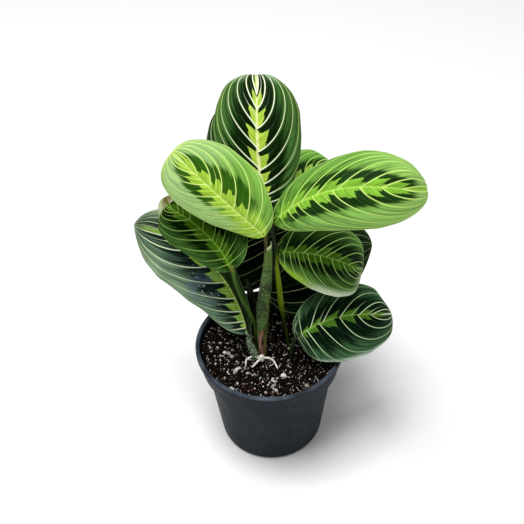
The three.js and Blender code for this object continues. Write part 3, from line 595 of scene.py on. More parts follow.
def blade_half(leaf, side, order):
    """One half of a blade as a grid from the stalk to the tip and from the midrib out, with
    the maps that its pattern is drawn on: number and reach of the side veins, and in
    millimetres the spacing of the veins, the way to the midrib and the way to the margin."""
    turn = np.linspace(0, np.pi, BLADE_ROWS + 1)
    s = np.repeat(((1 - np.cos(turn)) / 2)[:, None], BLADE_COLUMNS + 1, 1)
    lean = np.pi / 2 * MARGIN_CROWDING
    out = np.sin(np.linspace(0, 1, BLADE_COLUMNS + 1) * lean) / np.sin(lean)
    reach = np.repeat(out[None], BLADE_ROWS + 1, 0)
    signed = (-1.0 if side == 0 else 1.0) * np.maximum(reach, 1e-9)
    middle, normal = blade_surface(leaf, s, signed)
    if "swept" in leaf:
        climb, step, first = leaf["swept"]
        number = first + (reach - climb * s) / step
    else:
        inner = np.clip(s, 1e-4, 1 - 1e-4)
        number = vein_number(vein_origin(inner, reach, leaf["bow"][side]), leaf["veins"][side])
    spacing = spacing_of(middle, number)
    spacing[0], spacing[-1] = spacing[1], spacing[-2]
    width = leaf["half"][side] * outline(s, leaf.get("blunt", (BASE_ROUNDNESS, BASE_ROUNDNESS))[side])
    to_rib = reach * width
    rise = np.abs(np.sin(np.pi * number)) ** 0.8
    rise = rise * smooth_step(to_rib, 0.4, 3.5) * smooth_step(1 - reach, 0.0, 0.3)
    rise = rise * QUILT_HEIGHT * np.clip(spacing / 7, 0, 1.2) * np.sqrt(outline(s))
    rise = rise - MIDRIB_GROOVE * np.exp(-(to_rib / 0.7) ** 2) * smooth_step(1 - s, 0.04, 0.3)
    middle = middle + normal * rise[..., None]
    # far-off numbers, so that no two halves share the random sizes of their teeth
    veins = np.stack([number + 30 * side + 70 * order, reach], -1)
    sizes = np.stack([spacing, to_rib, (1 - reach) * width], -1)
    return SimpleNamespace(middle=middle, normal=normal, veins=veins.reshape(-1, 2), sizes=sizes,
                           blade=np.stack([s, (signed + 1) / 2], -1).reshape(-1, 2))


def blade_sheets(halves):
    """Two sheets a hair apart that meet round the margin: points, their sizes, and parts."""
    count = halves[0].middle[..., 0].size
    across = BLADE_COLUMNS + 1
    thicker = smooth_step(halves[0].sizes[..., 2], 0, 2.5)
    thin = MARGIN_HALF_THICKNESS + (BLADE_HALF_THICKNESS - MARGIN_HALF_THICKNESS) * thicker
    points = [(half.middle + sign * half.normal * thin[..., None]).reshape(-1, 3)
              for sign in (1, -1) for half in halves]
    sizes = [half.sizes.reshape(-1, 3) for half in halves] * 2
    cells = grid_faces(BLADE_ROWS, BLADE_COLUMNS).reshape(-1, 4)
    parts = []
    for level in (0, 1):
        for side, half in enumerate(halves):
            turned = (level == 0) == (side == 1)
            faces = cells[:, ::-1] if turned else cells
            parts.append(dict(faces=faces + (level * 2 + side) * count, material=level,
                              maps={"veins": half.veins[faces], "blade": half.blade[faces]}))
    rim = np.arange(BLADE_ROWS) * across + BLADE_COLUMNS
    for side, half in enumerate(halves):
        a, b = rim + side * count, rim + across + side * count
        faces = np.stack([a, b, b + 2 * count, a + 2 * count], 1)
        faces = faces if side == 0 else faces[:, ::-1]
        near = np.where(faces >= 2 * count, faces - 2 * count, faces) - side * count
        parts.append(dict(faces=faces, material=0,
                          maps={"veins": half.veins[near], "blade": half.blade[near]}))
    return points, sizes, parts


def stem_tube(leaf):
    """The rib, half sunk into the blade's underside, and the stalk that carries on from it,
    with the swollen joint below the blade."""
    rib_shares = np.linspace(0.04, 0.93, 46)
    rib_radius = MIDRIB_RADIUS[0] + (MIDRIB_RADIUS[1] - MIDRIB_RADIUS[0]) * rib_shares
    under_point, under_normal = blade_surface(leaf, rib_shares, np.full_like(rib_shares, 1e-9))
    rib = under_point - under_normal * (rib_radius * 0.85 + 0.35)[:, None]
    start, start_normal = blade_surface(leaf, np.array([0.0]), np.array([1e-9]))
    knots = np.vstack([leaf["stalk"], start - start_normal * (MIDRIB_RADIUS[0] + 0.2), rib[:1]])
    shares = np.linspace(0, 1, 16 * (len(knots) - 1) + 1)
    near = np.maximum(0, 1 - np.abs(shares - 1 + SWELLING_SPAN) / SWELLING_SPAN)
    radius = np.interp(shares, np.linspace(0, 1, len(leaf["radius"])), leaf["radius"])
    radius = radius * (1 + (SWELLING - 1) * smooth_step(near, 0, 1))
    radius[-6:] = radius[-6] + (rib_radius[0] - radius[-6]) * np.linspace(0, 1, 6)
    line = np.vstack([smooth_line(knots, shares), rib[1:]])
    tube, quads, ends, along = round_tube(line, np.append(radius, rib_radius[1:]), STEM_SIDES)
    along[:-2, 0] = np.repeat(np.append(shares, 1 + rib_shares[1:]), STEM_SIDES)
    along[-2:, 0] = 0, 2
    return tube, quads, ends, along


def leaf_piece(name, leaf, order, upper, under, stalk):
    """Blade, rib and stalk of a leaf as one piece."""
    points, sizes, parts = blade_sheets([blade_half(leaf, side, order) for side in (0, 1)])
    base = sum(len(cloud) for cloud in points)
    tube, quads, ends, along = stem_tube(leaf)
    for faces in (quads, ends):
        parts.append(dict(faces=faces + base, material=2, maps={"blade": map_of(along, faces)}))
    points, sizes = np.vstack(points + [tube]), np.vstack(sizes + [np.zeros((len(tube), 3))])
    piece = make_piece(name + "_grown", points, parts, [upper, under, stalk], [name],
                       {"leaf_sizes": sizes})
    weld(piece)


def weld(piece, distance=1e-6):
    """Joins points that lie on each other, so seams and poles are closed."""
    mesh = piece.data
    work = bmesh.new()
    work.from_mesh(mesh)
    bmesh.ops.remove_doubles(work, verts=work.verts, dist=distance)
    bmesh.ops.dissolve_degenerate(work, edges=work.edges, dist=distance)
    bmesh.ops.recalc_face_normals(work, faces=work.faces)
    work.to_mesh(mesh)
    work.free()
    mesh.update()


# ---------------------------------------------------------------- leaf materials
def patch_mask(tree, along, across, span, band, soft_along, soft_across):
    """1 inside a span of the length and a band of the width, falling to 0 round it."""
    mask = 1.0
    for value, (low, high), soft in ((along, span, soft_along), (across, band, soft_across)):
        up = add_node(tree, "MapRange", {0: value, 1: low - soft, 2: low + soft, 3: 0.0, 4: 1.0}, **SMOOTH)
        down = add_node(tree, "MapRange", {0: value, 1: high - soft, 2: high + soft, 3: 1.0, 4: 0.0},
                        **SMOOTH)
        inside = add_node(tree, "Math", {0: up, 1: down}, operation="MULTIPLY")
        mask = add_node(tree, "Math", {0: inside, 1: mask}, operation="MULTIPLY")
    return mask


def residue_with_painted_sheen(tree, colour, place_xyz, along, across, span, band):
    """Chalky spots that hard water leaves on a leaf, 0.5 to 2 mm wide, and round them a
    blue-grey haze that paints a sheen."""
    area = patch_mask(tree, along, across, span, band, 0.12, 0.1)
    spot = add_node(tree, "TexNoise", {"Vector": place_xyz, "Scale": 420.0, "Detail": 3.0})
    spot = add_node(tree, "MapRange", {0: spot, 1: 0.64, 2: 0.7, 3: 0.0, 4: 0.85})
    # painted sheen: a blue-grey haze laid over the area round the spots
    painted_sheen = add_node(tree, "TexNoise", {"Vector": place_xyz, "Scale": 90.0, "Detail": 2.0})
    painted_sheen = add_node(tree, "MapRange", {0: painted_sheen, 1: 0.45, 2: 0.65, 3: 0.0, 4: 0.5})
    painted_sheen = add_node(tree, "Math", {0: painted_sheen, 1: area}, operation="MULTIPLY")
    spot = add_node(tree, "Math", {0: spot, 1: area}, operation="MULTIPLY")
    colour = add_node(tree, "Mix", {0: painted_sheen, 6: colour, 7: "#6F8494"}, **IN_COLOUR)
    return add_node(tree, "Mix", {0: spot, 6: colour, 7: "#E8EEF0"}, **IN_COLOUR)


def paint_patches(tree, colour, maps, patches):
    """The colour with each patch laid over it, as the table of looks describes them."""
    for span, band, soft_along, soft_across, tint, strength in patches:
        mask = patch_mask(tree, maps.along, maps.across, span, band, soft_along, soft_across)
        mask = add_node(tree, "Math", {0: mask, 1: strength}, operation="MULTIPLY")
        colour = add_node(tree, "Mix", {0: mask, 6: colour, 7: tint}, **IN_COLOUR)
    return colour


def leaf_maps(tree):
    """What the pattern is drawn on: number of the side vein and reach from the midrib to the
    margin, place along and across, sizes in millimetres, the share of the way from one side
    vein to the next, and a chance for each such gap and for each of its seven strands."""
    veins = add_node(tree, "UVMap", uv_map="veins")
    number, reach = add_node(tree, "SeparateXYZ", {0: veins}).node.outputs[:2]
    blade = add_node(tree, "UVMap", uv_map="blade")
    along, across = add_node(tree, "SeparateXYZ", {0: blade}).node.outputs[:2]
    sizes = add_node(tree, "Attribute", output=1, attribute_name="leaf_sizes")
    spacing, to_rib, to_margin = add_node(tree, "SeparateXYZ", {0: sizes}).node.outputs
    between = add_node(tree, "Math", {0: number}, operation="FRACT")
    whole = add_node(tree, "Math", {0: number}, operation="FLOOR")
    chance = add_node(tree, "TexWhiteNoise", {"W": whole}, noise_dimensions="1D")
    strand = add_node(tree, "Math", {0: number, 1: 7.0}, operation="MULTIPLY")
    strand = add_node(tree, "Math", {0: strand}, operation="FLOOR")
    strand = add_node(tree, "TexWhiteNoise", {"W": strand}, noise_dimensions="1D")
    return SimpleNamespace(
        veins=veins, number=number, reach=reach, along=along, across=across, spacing=spacing, to_rib=to_rib,
        to_margin=to_margin, between=between, chance=chance, strand=strand,
        point=add_node(tree, "TexCoord", output=3))


def feather_edge(tree, maps, look):
    """How far outside the toothed feather a place is, below 0 inside it. Each tooth has its
    own size, and each strand ends at its own height."""
    beside, point, low, onward, place, foot = look["teeth"]
    start, stop, least = look["fade"]
    fade = add_node(tree, "MapRange", {0: maps.along, 1: start, 2: stop, 3: 1.0, 4: least})
    size = add_node(tree, "MapRange", {0: maps.chance, 1: 0.0, 2: 1.0, 3: 0.86, 4: 1.1})
    size = add_node(tree, "Math", {0: size, 1: fade}, operation="MULTIPLY")
    ragged = add_node(tree, "MapRange", {0: maps.strand, 1: 0.0, 2: 1.0, 3: -0.026, 4: 0.026})
    crumble = add_node(tree, "TexNoise", {"Vector": maps.point, "Scale": 900.0, "Detail": 2.0})
    crumble = add_node(tree, "MapRange", {0: crumble, 1: 0.3, 2: 0.7, 3: -0.012, 4: 0.012})
    ragged = add_node(tree, "Math", {0: ragged, 1: crumble}, operation="ADD")
    rise = add_node(tree, "MapRange", {0: maps.between, 1: 0.0, 2: place, 3: 0.0, 4: 1.0})
    rise = add_node(tree, "Math", {0: rise, 1: 0.6}, operation="POWER")
    rise = add_node(tree, "MapRange", {0: rise, 1: 0.0, 2: 1.0, 3: beside, 4: point})
    fall = add_node(tree, "MapRange", {0: maps.between, 1: place, 2: foot, 3: 0.0, 4: 1.0})
    after = add_node(tree, "MapRange", {0: maps.between, 1: foot, 2: 1.0, 3: low, 4: onward})
    height = add_node(tree, "Mix", {0: fall, 2: rise, 3: after})
    height = add_node(tree, "Math", {0: height, 1: size}, operation="MULTIPLY")
    outside = add_node(tree, "Math", {0: maps.reach, 1: height}, operation="SUBTRACT")
    return add_node(tree, "Math", {0: outside, 1: ragged}, operation="ADD")


def side_veins(tree, maps, look):
    """Side veins as lines that thin from the midrib to the margin, and a glow beside them."""
    wide, narrow = look["line"]
    nearest = add_node(tree, "Math", {0: maps.number, 1: 0.5}, operation="PINGPONG")
    from_vein = add_node(tree, "Math", {0: nearest, 1: maps.spacing}, operation="MULTIPLY")
    line = add_node(tree, "MapRange", {0: maps.reach, 1: 0.0, 2: 0.95, 3: wide / 2, 4: narrow / 2})
    over = add_node(tree, "Math", {0: from_vein, 1: line}, operation="SUBTRACT")
    vein = add_node(tree, "MapRange", {0: over, 1: -0.06, 2: 0.1, 3: 1.0, 4: 0.0}, **SMOOTH)
    ending = add_node(tree, "MapRange", {0: maps.to_margin, 1: 0.3, 2: 2.6, 3: 0.35, 4: 1.0})
    vein = add_node(tree, "Math", {0: vein, 1: ending}, operation="MULTIPLY")
    flank = add_node(tree, "MapRange", {0: from_vein, 1: 0.2, 2: 1.3, 3: 0.09, 4: 0.0}, **SMOOTH)
    return vein, flank


def minor_veins(tree, maps, look, outside):
    """Half-length lines out of the points of the larger teeth."""
    place = look["teeth"][4]
    to_tooth = add_node(tree, "Math", {0: maps.between, 1: place - 0.04}, operation="SUBTRACT")
    to_tooth = add_node(tree, "Math", {0: to_tooth}, operation="ABSOLUTE")
    to_tooth = add_node(tree, "Math", {0: to_tooth, 1: maps.spacing}, operation="MULTIPLY")
    minor = add_node(tree, "MapRange", {0: to_tooth, 1: 0.06, 2: 0.32, 3: 1.0, 4: 0.0}, **SMOOTH)
    end = add_node(tree, "MapRange", {0: outside, 1: 0.0, 2: 0.26, 3: 0.6, 4: 0.0})
    minor = add_node(tree, "Math", {0: minor, 1: end}, operation="MULTIPLY")
    chosen = add_node(tree, "MapRange", {0: maps.chance, 1: 0.7, 2: 0.75, 3: 0.12, 4: 1.0})
    return add_node(tree, "Math", {0: minor, 1: chosen}, operation="MULTIPLY")


def dark_zone(tree, maps, look, stripe):
    """Dark zone outside the feather, whose strands end unevenly between the veins."""
    left_ends, right_ends, soft, (left_from, right_from), upto = look["zone"]
    limits = [add_node(tree, "MapRange", {0: maps.along, 1: 0.35, 2: 0.85, 3: ends[0], 4: ends[1]})
              for ends in (left_ends, right_ends)]
    right_half = add_node(tree, "Math", {0: maps.across, 1: 0.5}, operation="GREATER_THAN")
    limit = add_node(tree, "Mix", {0: right_half, 2: limits[0], 3: limits[1]})
    end = add_node(tree, "Math", {0: maps.reach, 1: limit}, operation="SUBTRACT")
    for uneven, swing in ((maps.strand, 0.035), (maps.chance, 0.04)):
        shift = add_node(tree, "MapRange", {0: uneven, 1: 0.0, 2: 1.0, 3: -swing, 4: swing})
        end = add_node(tree, "Math", {0: end, 1: shift}, operation="ADD")
    end = add_node(tree, "Math", {0: stripe, 1: soft * 0.4, 2: end}, operation="MULTIPLY_ADD")
    dark = add_node(tree, "MapRange", {0: end, 1: -soft, 2: soft, 3: 1.0, 4: 0.0}, **SMOOTH)
    begin = add_node(tree, "Mix", {0: right_half, 2: left_from, 3: right_from})
    past = add_node(tree, "Math", {0: maps.along, 1: begin}, operation="SUBTRACT")
    past = add_node(tree, "MapRange", {0: past, 1: -0.05, 2: 0.05, 3: 0.0, 4: 1.0}, **SMOOTH)
    before = add_node(tree, "MapRange", {0: maps.along, 1: upto - 0.05, 2: upto + 0.05, 3: 1.0, 4: 0.0},
                      **SMOOTH)
    shown = add_node(tree, "Math", {0: past, 1: before}, operation="MULTIPLY")
    return add_node(tree, "Math", {0: dark, 1: shown}, operation="MULTIPLY")


def leaf_upper(name, look):
    """Upper side of a maranta leaf: a satin, faintly velvety skin. The drawing follows the
    leaf's own maps: side veins, a light toothed feather beside the midrib, a dark zone
    outside it that gives way to the lighter margin, and fine stripes along the veins."""
    material, tree = new_material(name)
    maps = leaf_maps(tree)
    outside = feather_edge(tree, maps, look)
    feather = add_node(tree, "MapRange", {0: outside, 1: -0.01, 2: 0.012, 3: 1.0, 4: 0.0}, **SMOOTH)
    vein, flank = side_veins(tree, maps, look)
    # stripes along the veins, drawn about 1.5 mm apart, coarser than on the leaf, to show
    ribbon = add_node(tree, "VectorMath", {0: maps.veins, 1: (6.5, 2.4, 1.0)}, operation="MULTIPLY")
    stripe = add_node(tree, "TexNoise", {"Vector": ribbon, "Scale": 1.0, "Detail": 2.5},
                      noise_dimensions="2D")
    stripe = add_node(tree, "MapRange", {0: stripe, 1: 0.36, 2: 0.64, 3: -1.0, 4: 1.0})
    dark = dark_zone(tree, maps, look, stripe)
    # colours, from the margin inwards
    outward = add_node(tree, "MapRange", {0: maps.reach, 1: 0.4, 2: 0.98, 3: 0.0, 4: 1.0})
    colour = add_node(tree, "Mix", {0: outward, 6: look["mid"], 7: look["margin"]}, **IN_COLOUR)
    colour = paint_patches(tree, colour, maps, look["patches"])
    colour = add_node(tree, "Mix", {0: dark, 6: colour, 7: look["dark"]}, **IN_COLOUR)
    brighter = add_node(tree, "MapRange", {0: stripe, 1: -1.0, 2: 1.0, 3: 1 - look["stripe"] * 0.8,
                                           4: 1 + look["stripe"]})
    colour = add_node(tree, "VectorMath", {0: colour, 3: brighter}, operation="SCALE")
    colour = add_node(tree, "Mix", {0: flank, 6: colour, 7: look["feather"]}, **IN_COLOUR)
    # the feather is lighter along the midrib
    broad = add_node(tree, "MapRange",
                     {0: maps.along, 1: 0.0, 2: 1.0, 3: 0.3 + 0.9 * look["core"], 4: 0.35})
    core = add_node(tree, "MapRange", {0: maps.to_rib, 1: 0.15, 2: broad, 3: 0.85, 4: 0.0}, **SMOOTH)
    lime = add_node(tree, "Mix", {0: core, 6: look["feather"], 7: look["rib"]}, **IN_COLOUR)
    shade = add_node(tree, "MapRange", {0: stripe, 1: -1.0, 2: 1.0, 3: 0.8, 4: 1.12})
    lime = add_node(tree, "VectorMath", {0: lime, 3: shade}, operation="SCALE")
    colour = add_node(tree, "Mix", {0: feather, 6: colour, 7: lime}, **IN_COLOUR)
    minor = minor_veins(tree, maps, look, outside)
    lines = add_node(tree, "Math", {0: vein, 1: minor}, operation="MAXIMUM")
    pale = add_node(tree, "Mix", {0: outward, 6: look["vein"], 7: look["vein_end"]}, **IN_COLOUR)
    colour = add_node(tree, "Mix", {0: lines, 6: colour, 7: pale}, **IN_COLOUR)
    colour = paint_patches(tree, colour, maps, look.get("shadings", ()))
    if "residue_and_painted_sheen" in look:
        colour = residue_with_painted_sheen(tree, colour, maps.point, maps.along, maps.across, *look["residue_and_painted_sheen"])
    rim = add_node(tree, "MapRange", {0: maps.to_margin, 1: 0.1, 2: 0.45, 3: look["edge"], 4: 0.0})
    colour = add_node(tree, "Mix", {0: rim, 6: colour, 7: look["vein"]}, **IN_COLOUR)
    # relief: sunken veins, fine stripes and the grain of the skin
    grain = add_node(tree, "TexNoise", {"Vector": maps.point, "Scale": 2600.0, "Detail": 2.0})
    relief = add_node(tree, "Math", {0: stripe, 1: 0.35, 2: grain}, operation="MULTIPLY_ADD")
    relief = add_node(tree, "Math", {0: vein, 1: -0.8, 2: relief}, operation="MULTIPLY_ADD")
    rough = add_node(tree, "MapRange", {0: grain, 1: 0.3, 2: 0.7, 3: 0.42, 4: 0.56})
    finish_surface(tree, colour, rough, relief, 0.00012, IOR=1.45, Specular_IOR_Level=look["gloss"])
    return material


def leaf_under(name, colour_hex, vein_hex, scorched=False):
    """Underside of a maranta leaf: paler, greyish and matt, with the side veins standing out,
    and the tip bleached with brown edges where it is scorched."""
    material, tree = new_material(name)
    vein_map = add_node(tree, "SeparateXYZ", {0: add_node(tree, "UVMap", uv_map="veins")}).node
    spacing = add_node(tree, "SeparateXYZ",
                       {0: add_node(tree, "Attribute", output=1, attribute_name="leaf_sizes")})
    nearest = add_node(tree, "Math", {0: vein_map.outputs[0], 1: 0.5}, operation="PINGPONG")
    from_vein = add_node(tree, "Math", {0: nearest, 1: spacing}, operation="MULTIPLY")
    vein = add_node(tree, "MapRange", {0: from_vein, 1: 0.15, 2: 0.6, 3: 1.0, 4: 0.0}, **SMOOTH)
    ribbon = add_node(tree, "VectorMath", {0: add_node(tree, "UVMap", uv_map="veins"),
                                           1: (9.0, 2.4, 1.0)}, operation="MULTIPLY")
    stripe = add_node(tree, "TexNoise", {"Vector": ribbon, "Scale": 1.0, "Detail": 1.5},
                      noise_dimensions="2D")
    brighter = add_node(tree, "MapRange", {0: stripe, 1: 0.3, 2: 0.7, 3: 0.82, 4: 1.15})
    colour = add_node(tree, "Mix", {0: vein, 6: colour_hex, 7: vein_hex}, **IN_COLOUR)
    colour = add_node(tree, "VectorMath", {0: colour, 3: brighter}, operation="SCALE")
    if scorched:
        place = add_node(tree, "TexCoord", output=3)
        along = add_node(tree, "SeparateXYZ", {0: add_node(tree, "UVMap", uv_map="blade")})
        burnt = add_node(tree, "TexNoise", {"Vector": place, "Scale": 260.0, "Detail": 2.0})
        burnt = add_node(tree, "MapRange", {0: burnt, 1: 0.46, 2: 0.56, 3: 0.0, 4: 1.0})
        dry = add_node(tree, "Mix", {0: burnt, 6: "#DADBC2", 7: "#6B5A38"}, **IN_COLOUR)
        reached = add_node(tree, "MapRange", {0: along, 1: 0.86, 2: 0.93, 3: 0.0, 4: 0.95}, **SMOOTH)
        colour = add_node(tree, "Mix", {0: reached, 6: colour, 7: dry}, **IN_COLOUR)
    grain = add_node(tree, "TexNoise", {"Vector": add_node(tree, "TexCoord", output=3),
                                        "Scale": 2600.0, "Detail": 2.0})
    relief = add_node(tree, "Math", {0: vein, 1: 1.0, 2: grain}, operation="MULTIPLY_ADD")
    rough = add_node(tree, "MapRange", {0: grain, 1: 0.3, 2: 0.7, 3: 0.5, 4: 0.65})
    finish_surface(tree, colour, rough, relief, 0.00015, IOR=1.45)
    return material


def stalk_skin(name, foot, green, pale, joint, hair=0.0):
    """Leaf stalk: smooth waxy skin with fine lengthwise streaks, another green up to its
    node, a duller, browner joint under the blade, a pale rib along the blade's underside,
    and short pale hairs where there are."""
    material, tree = new_material(name)
    place = add_node(tree, "UVMap", uv_map="blade")
    along = add_node(tree, "SeparateXYZ", {0: place})
    streak_at = add_node(tree, "VectorMath", {0: place, 1: (2.5, 7.0, 1.0)}, operation="MULTIPLY")
    streak = add_node(tree, "TexNoise", {"Vector": streak_at, "Scale": 1.0, "Detail": 2.0})
    mixed = add_node(tree, "MapRange", {0: streak, 1: 0.38, 2: 0.62, 3: 0.0, 4: 1.0})
    colour = add_node(tree, "Mix", {0: mixed, 6: green, 7: pale}, **IN_COLOUR)
    low = add_node(tree, "MapRange", {0: along, 1: 0.22, 2: 0.3, 3: 0.85, 4: 0.0})
    colour = add_node(tree, "Mix", {0: low, 6: colour, 7: foot}, **IN_COLOUR)
    upto = add_node(tree, "MapRange", {0: along, 1: 0.8, 2: 0.9, 3: 0.0, 4: 1.0}, **SMOOTH)
    beyond = add_node(tree, "MapRange", {0: along, 1: 1.0, 2: 1.06, 3: 1.0, 4: 0.0}, **SMOOTH)
    swollen = add_node(tree, "Math", {0: upto, 1: beyond}, operation="MULTIPLY")
    colour = add_node(tree, "Mix", {0: swollen, 6: colour, 7: joint}, **IN_COLOUR)
    grain = add_node(tree, "TexNoise", {"Vector": add_node(tree, "TexCoord", output=3),
                                        "Scale": 1800.0, "Detail": 2.0})
    under = add_node(tree, "MapRange", {0: along, 1: 1.02, 2: 1.08, 3: 0.0, 4: 1.0})
    colour = add_node(tree, "Mix", {0: under, 6: colour, 7: "#8AA266"}, **IN_COLOUR)
    if hair:
        flecks = add_node(tree, "VectorMath", {0: add_node(tree, "TexCoord", output=3),
                                               1: (1.0, 1.0, 0.4)}, operation="MULTIPLY")
        flecks = add_node(tree, "TexNoise", {"Vector": flecks, "Scale": 1500.0, "Detail": 1.0})
        flecks = add_node(tree, "MapRange", {0: flecks, 1: 0.54, 2: 0.66, 3: 0.0, 4: hair})
        colour = add_node(tree, "Mix", {0: flecks, 6: colour, 7: "#C4CCB8"}, **IN_COLOUR)
    relief = add_node(tree, "Math", {0: streak, 1: 0.8, 2: grain}, operation="MULTIPLY_ADD")
    rough = add_node(tree, "MapRange", {0: grain, 1: 0.3, 2: 0.7, 3: 0.38, 4: 0.52})
    finish_surface(tree, colour, rough, relief, 0.0001, IOR=1.45, Specular_IOR_Level=0.06)
    return material


# ---------------------------------------------------------------- pot
def inner_radius(z):
    """Radius of the pot's inner wall: straight tapers below the step and above it."""
    up_collar = min((z - COLLAR_FOOT_Z) / (COLLAR_TOP_Z - COLLAR_FOOT_Z), 1)
    collar = COLLAR_FOOT_RADIUS + (COLLAR_TOP_RADIUS - COLLAR_FOOT_RADIUS) * up_collar
    body = BODY_FOOT_RADIUS + (BODY_TOP_RADIUS - BODY_FOOT_RADIUS) * z / BODY_TOP_Z
    return (collar if z > COLLAR_FOOT_Z else body) - POT_WALL


def rounded_profile(corners, steps=4):
    """Line through (radius, height, rounding) corners, each corner swapped for a quadratic
    curve that starts and ends its rounding away along the two sides."""
    corners = np.asarray(corners, float)
    line = [corners[0, :2]]
    for before, here, after in zip(corners[:-2], corners[1:-1], corners[2:]):
        back, on = before[:2] - here[:2], after[:2] - here[:2]
        reach = min(here[2], 0.45 * np.linalg.norm(back), 0.45 * np.linalg.norm(on))
        if reach < 1e-6:
            line.append(here[:2])
            continue
        a, b = here[:2] + unit(back) * reach, here[:2] + unit(on) * reach
        for w in np.linspace(0, 1, steps + 1):
            line.append((1 - w) ** 2 * a + 2 * (1 - w) * w * here[:2] + w ** 2 * b)
    line.append(corners[-1, :2])
    return np.array(line)


def lathe_grid(line, sides):
    """Points of a (radius, height) line turned about the Z axis, and its quads."""
    turn = np.arange(sides) / sides * 2 * np.pi
    x, y = line[:, :1] * np.cos(turn), line[:, :1] * np.sin(turn)
    z = np.broadcast_to(line[:, 1:], x.shape)
    return np.stack([x, y, z], -1).reshape(-1, 3), grid_faces(len(line) - 1, sides, True).reshape(-1, 4)


def drilled_ring(inner, outer, height, sides):
    """Flat ring between two radii with DRAIN_COUNT round holes. Each sixth is a grid that
    runs from the hole's circle to the edge of its sector, along rays from the hole."""
    per = sides // DRAIN_COUNT
    half = np.pi / DRAIN_COUNT
    arc, ray = np.linspace(-half, half, per + 1), np.linspace(inner, outer, 9)
    edge = np.vstack([
        np.stack([inner * np.cos(arc), inner * np.sin(arc)], 1)[:-1],
        np.stack([ray * np.cos(half), ray * np.sin(half)], 1)[:-1],
        np.stack([outer * np.cos(arc[::-1]), outer * np.sin(arc[::-1])], 1)[:-1],
        np.stack([ray[::-1] * np.cos(half), -ray[::-1] * np.sin(half)], 1)[:-1]])
    out = edge - [DRAIN_CIRCLE, 0]
    circle = out / np.linalg.norm(out, axis=1, keepdims=True) * DRAIN_RADIUS
    share = np.linspace(0, 1, HOLE_RINGS)[:, None, None]
    flat = [DRAIN_CIRCLE, 0] + circle + (out - circle) * share
    points, faces, quads = [], [], grid_faces(HOLE_RINGS - 1, len(edge), True).reshape(-1, 4)
    for k in range(DRAIN_COUNT):
        a = k * 2 * half
        turned = flat @ np.array([[math.cos(a), math.sin(a)], [-math.sin(a), math.cos(a)]])
        faces.append(quads + k * flat.shape[0] * flat.shape[1])
        points.append(np.concatenate([turned, np.full(turned.shape[:2] + (1,), height)], -1).reshape(-1, 3))
    return np.vstack(points), np.vstack(faces), len(edge)


def pot_piece(skin):
    """Thin-walled nursery pot: a rounded profile turned about Z, and a drilled floor."""
    outer = rounded_profile([
        (HOLE_BAND[1], 0, 0), (36.6, 0, 1.2), (38.05, 2.2, 1.2), (BODY_TOP_RADIUS, BODY_TOP_Z - 0.2, 1.4),
        (COLLAR_FOOT_RADIUS, COLLAR_FOOT_Z, 1.0), (51.1, 83.6, 0.8), (LIP_RADIUS, 84.3, 0.5),
        (LIP_RADIUS, 87.2, 1.0), (51.4, POT_HEIGHT, 0.9), (50.2, POT_HEIGHT, 0.8), (49.35, 86.9, 0.7),
        (49.6, COLLAR_TOP_Z, 0.6), (inner_radius(LEDGE_TOP_Z), LEDGE_TOP_Z, 1.0),
        (inner_radius(LEDGE_FOOT_Z), LEDGE_FOOT_Z, 1.0), (inner_radius(POT_FLOOR), POT_FLOOR, 1.2),
        (HOLE_BAND[1], POT_FLOOR, 0)])
    points, faces = lathe_grid(outer, POT_SIDES)
    clouds, parts = [points], [faces]
    start = len(points)
    for height in (0.0, POT_FLOOR):
        ring, quads, around = drilled_ring(*HOLE_BAND, height, POT_SIDES)
        hub, hub_quads = lathe_grid(np.array([(r, height) for r in (HOLE_BAND[0], 13, 7, 1)]), POT_SIDES)
        for cloud, cells in ((ring, quads), (hub, hub_quads)):
            clouds.append(cloud)
            parts.append(cells + start)
            start += len(cloud)
        clouds.append([[0, 0, height]])
        parts.append(fan(start, start - POT_SIDES, POT_SIDES))
        start += 1
    # walls of the holes, from the circle in the underside to the one in the floor
    per_level = len(ring) + len(hub) + 1
    first = len(points)
    k, j = np.meshgrid(np.arange(DRAIN_COUNT) * HOLE_RINGS * around, np.arange(around), indexing="ij")
    a, b = first + k + j, first + k + (j + 1) % around
    parts.append(np.stack([a, b, b + per_level, a + per_level], -1).reshape(-1, 4))
    piece = make_piece("pot_turned", np.vstack(clouds), [dict(faces=cells) for cells in parts], [skin],
                       ["pot"])
    weld(piece, 2e-6)


# ---------------------------------------------------------------- soil
def soil_height(x, y):
    """A low mound with broad lumps, flat at the wall."""
    r = np.hypot(x, y) / SOIL_EDGE
    lumps = np.sin(0.31 * x + 1.3) * np.sin(0.27 * y + 0.4) + 0.7 * np.sin(0.55 * x - 0.47 * y)
    return SOIL_LEVEL + (1 - r * r) * (SOIL_RISE + SOIL_LUMP * lumps)


def crumbling(x, y, seed=3):
    """Fine unevenness: 70 plane waves of seeded direction and phase, 2 to 12 mm long, each
    as high as a share of its length."""
    rng = np.random.default_rng(seed)
    length = 2 * 6 ** rng.random(70)
    heading, phase = rng.random(70) * 2 * np.pi, rng.random(70) * 2 * np.pi
    wave = (x[..., None] * np.cos(heading) + y[..., None] * np.sin(heading)) * 2 * np.pi / length + phase
    return (np.sin(wave) * length * 0.017).sum(-1)


def soil_top(x, y):
    """Height of the visible surface: the mound and its crumbling, which dies off at the wall."""
    r = np.hypot(x, y) / SOIL_EDGE
    return soil_height(x, y) + crumbling(x, y) * smooth_step(1 - r, 0.0, 0.04)


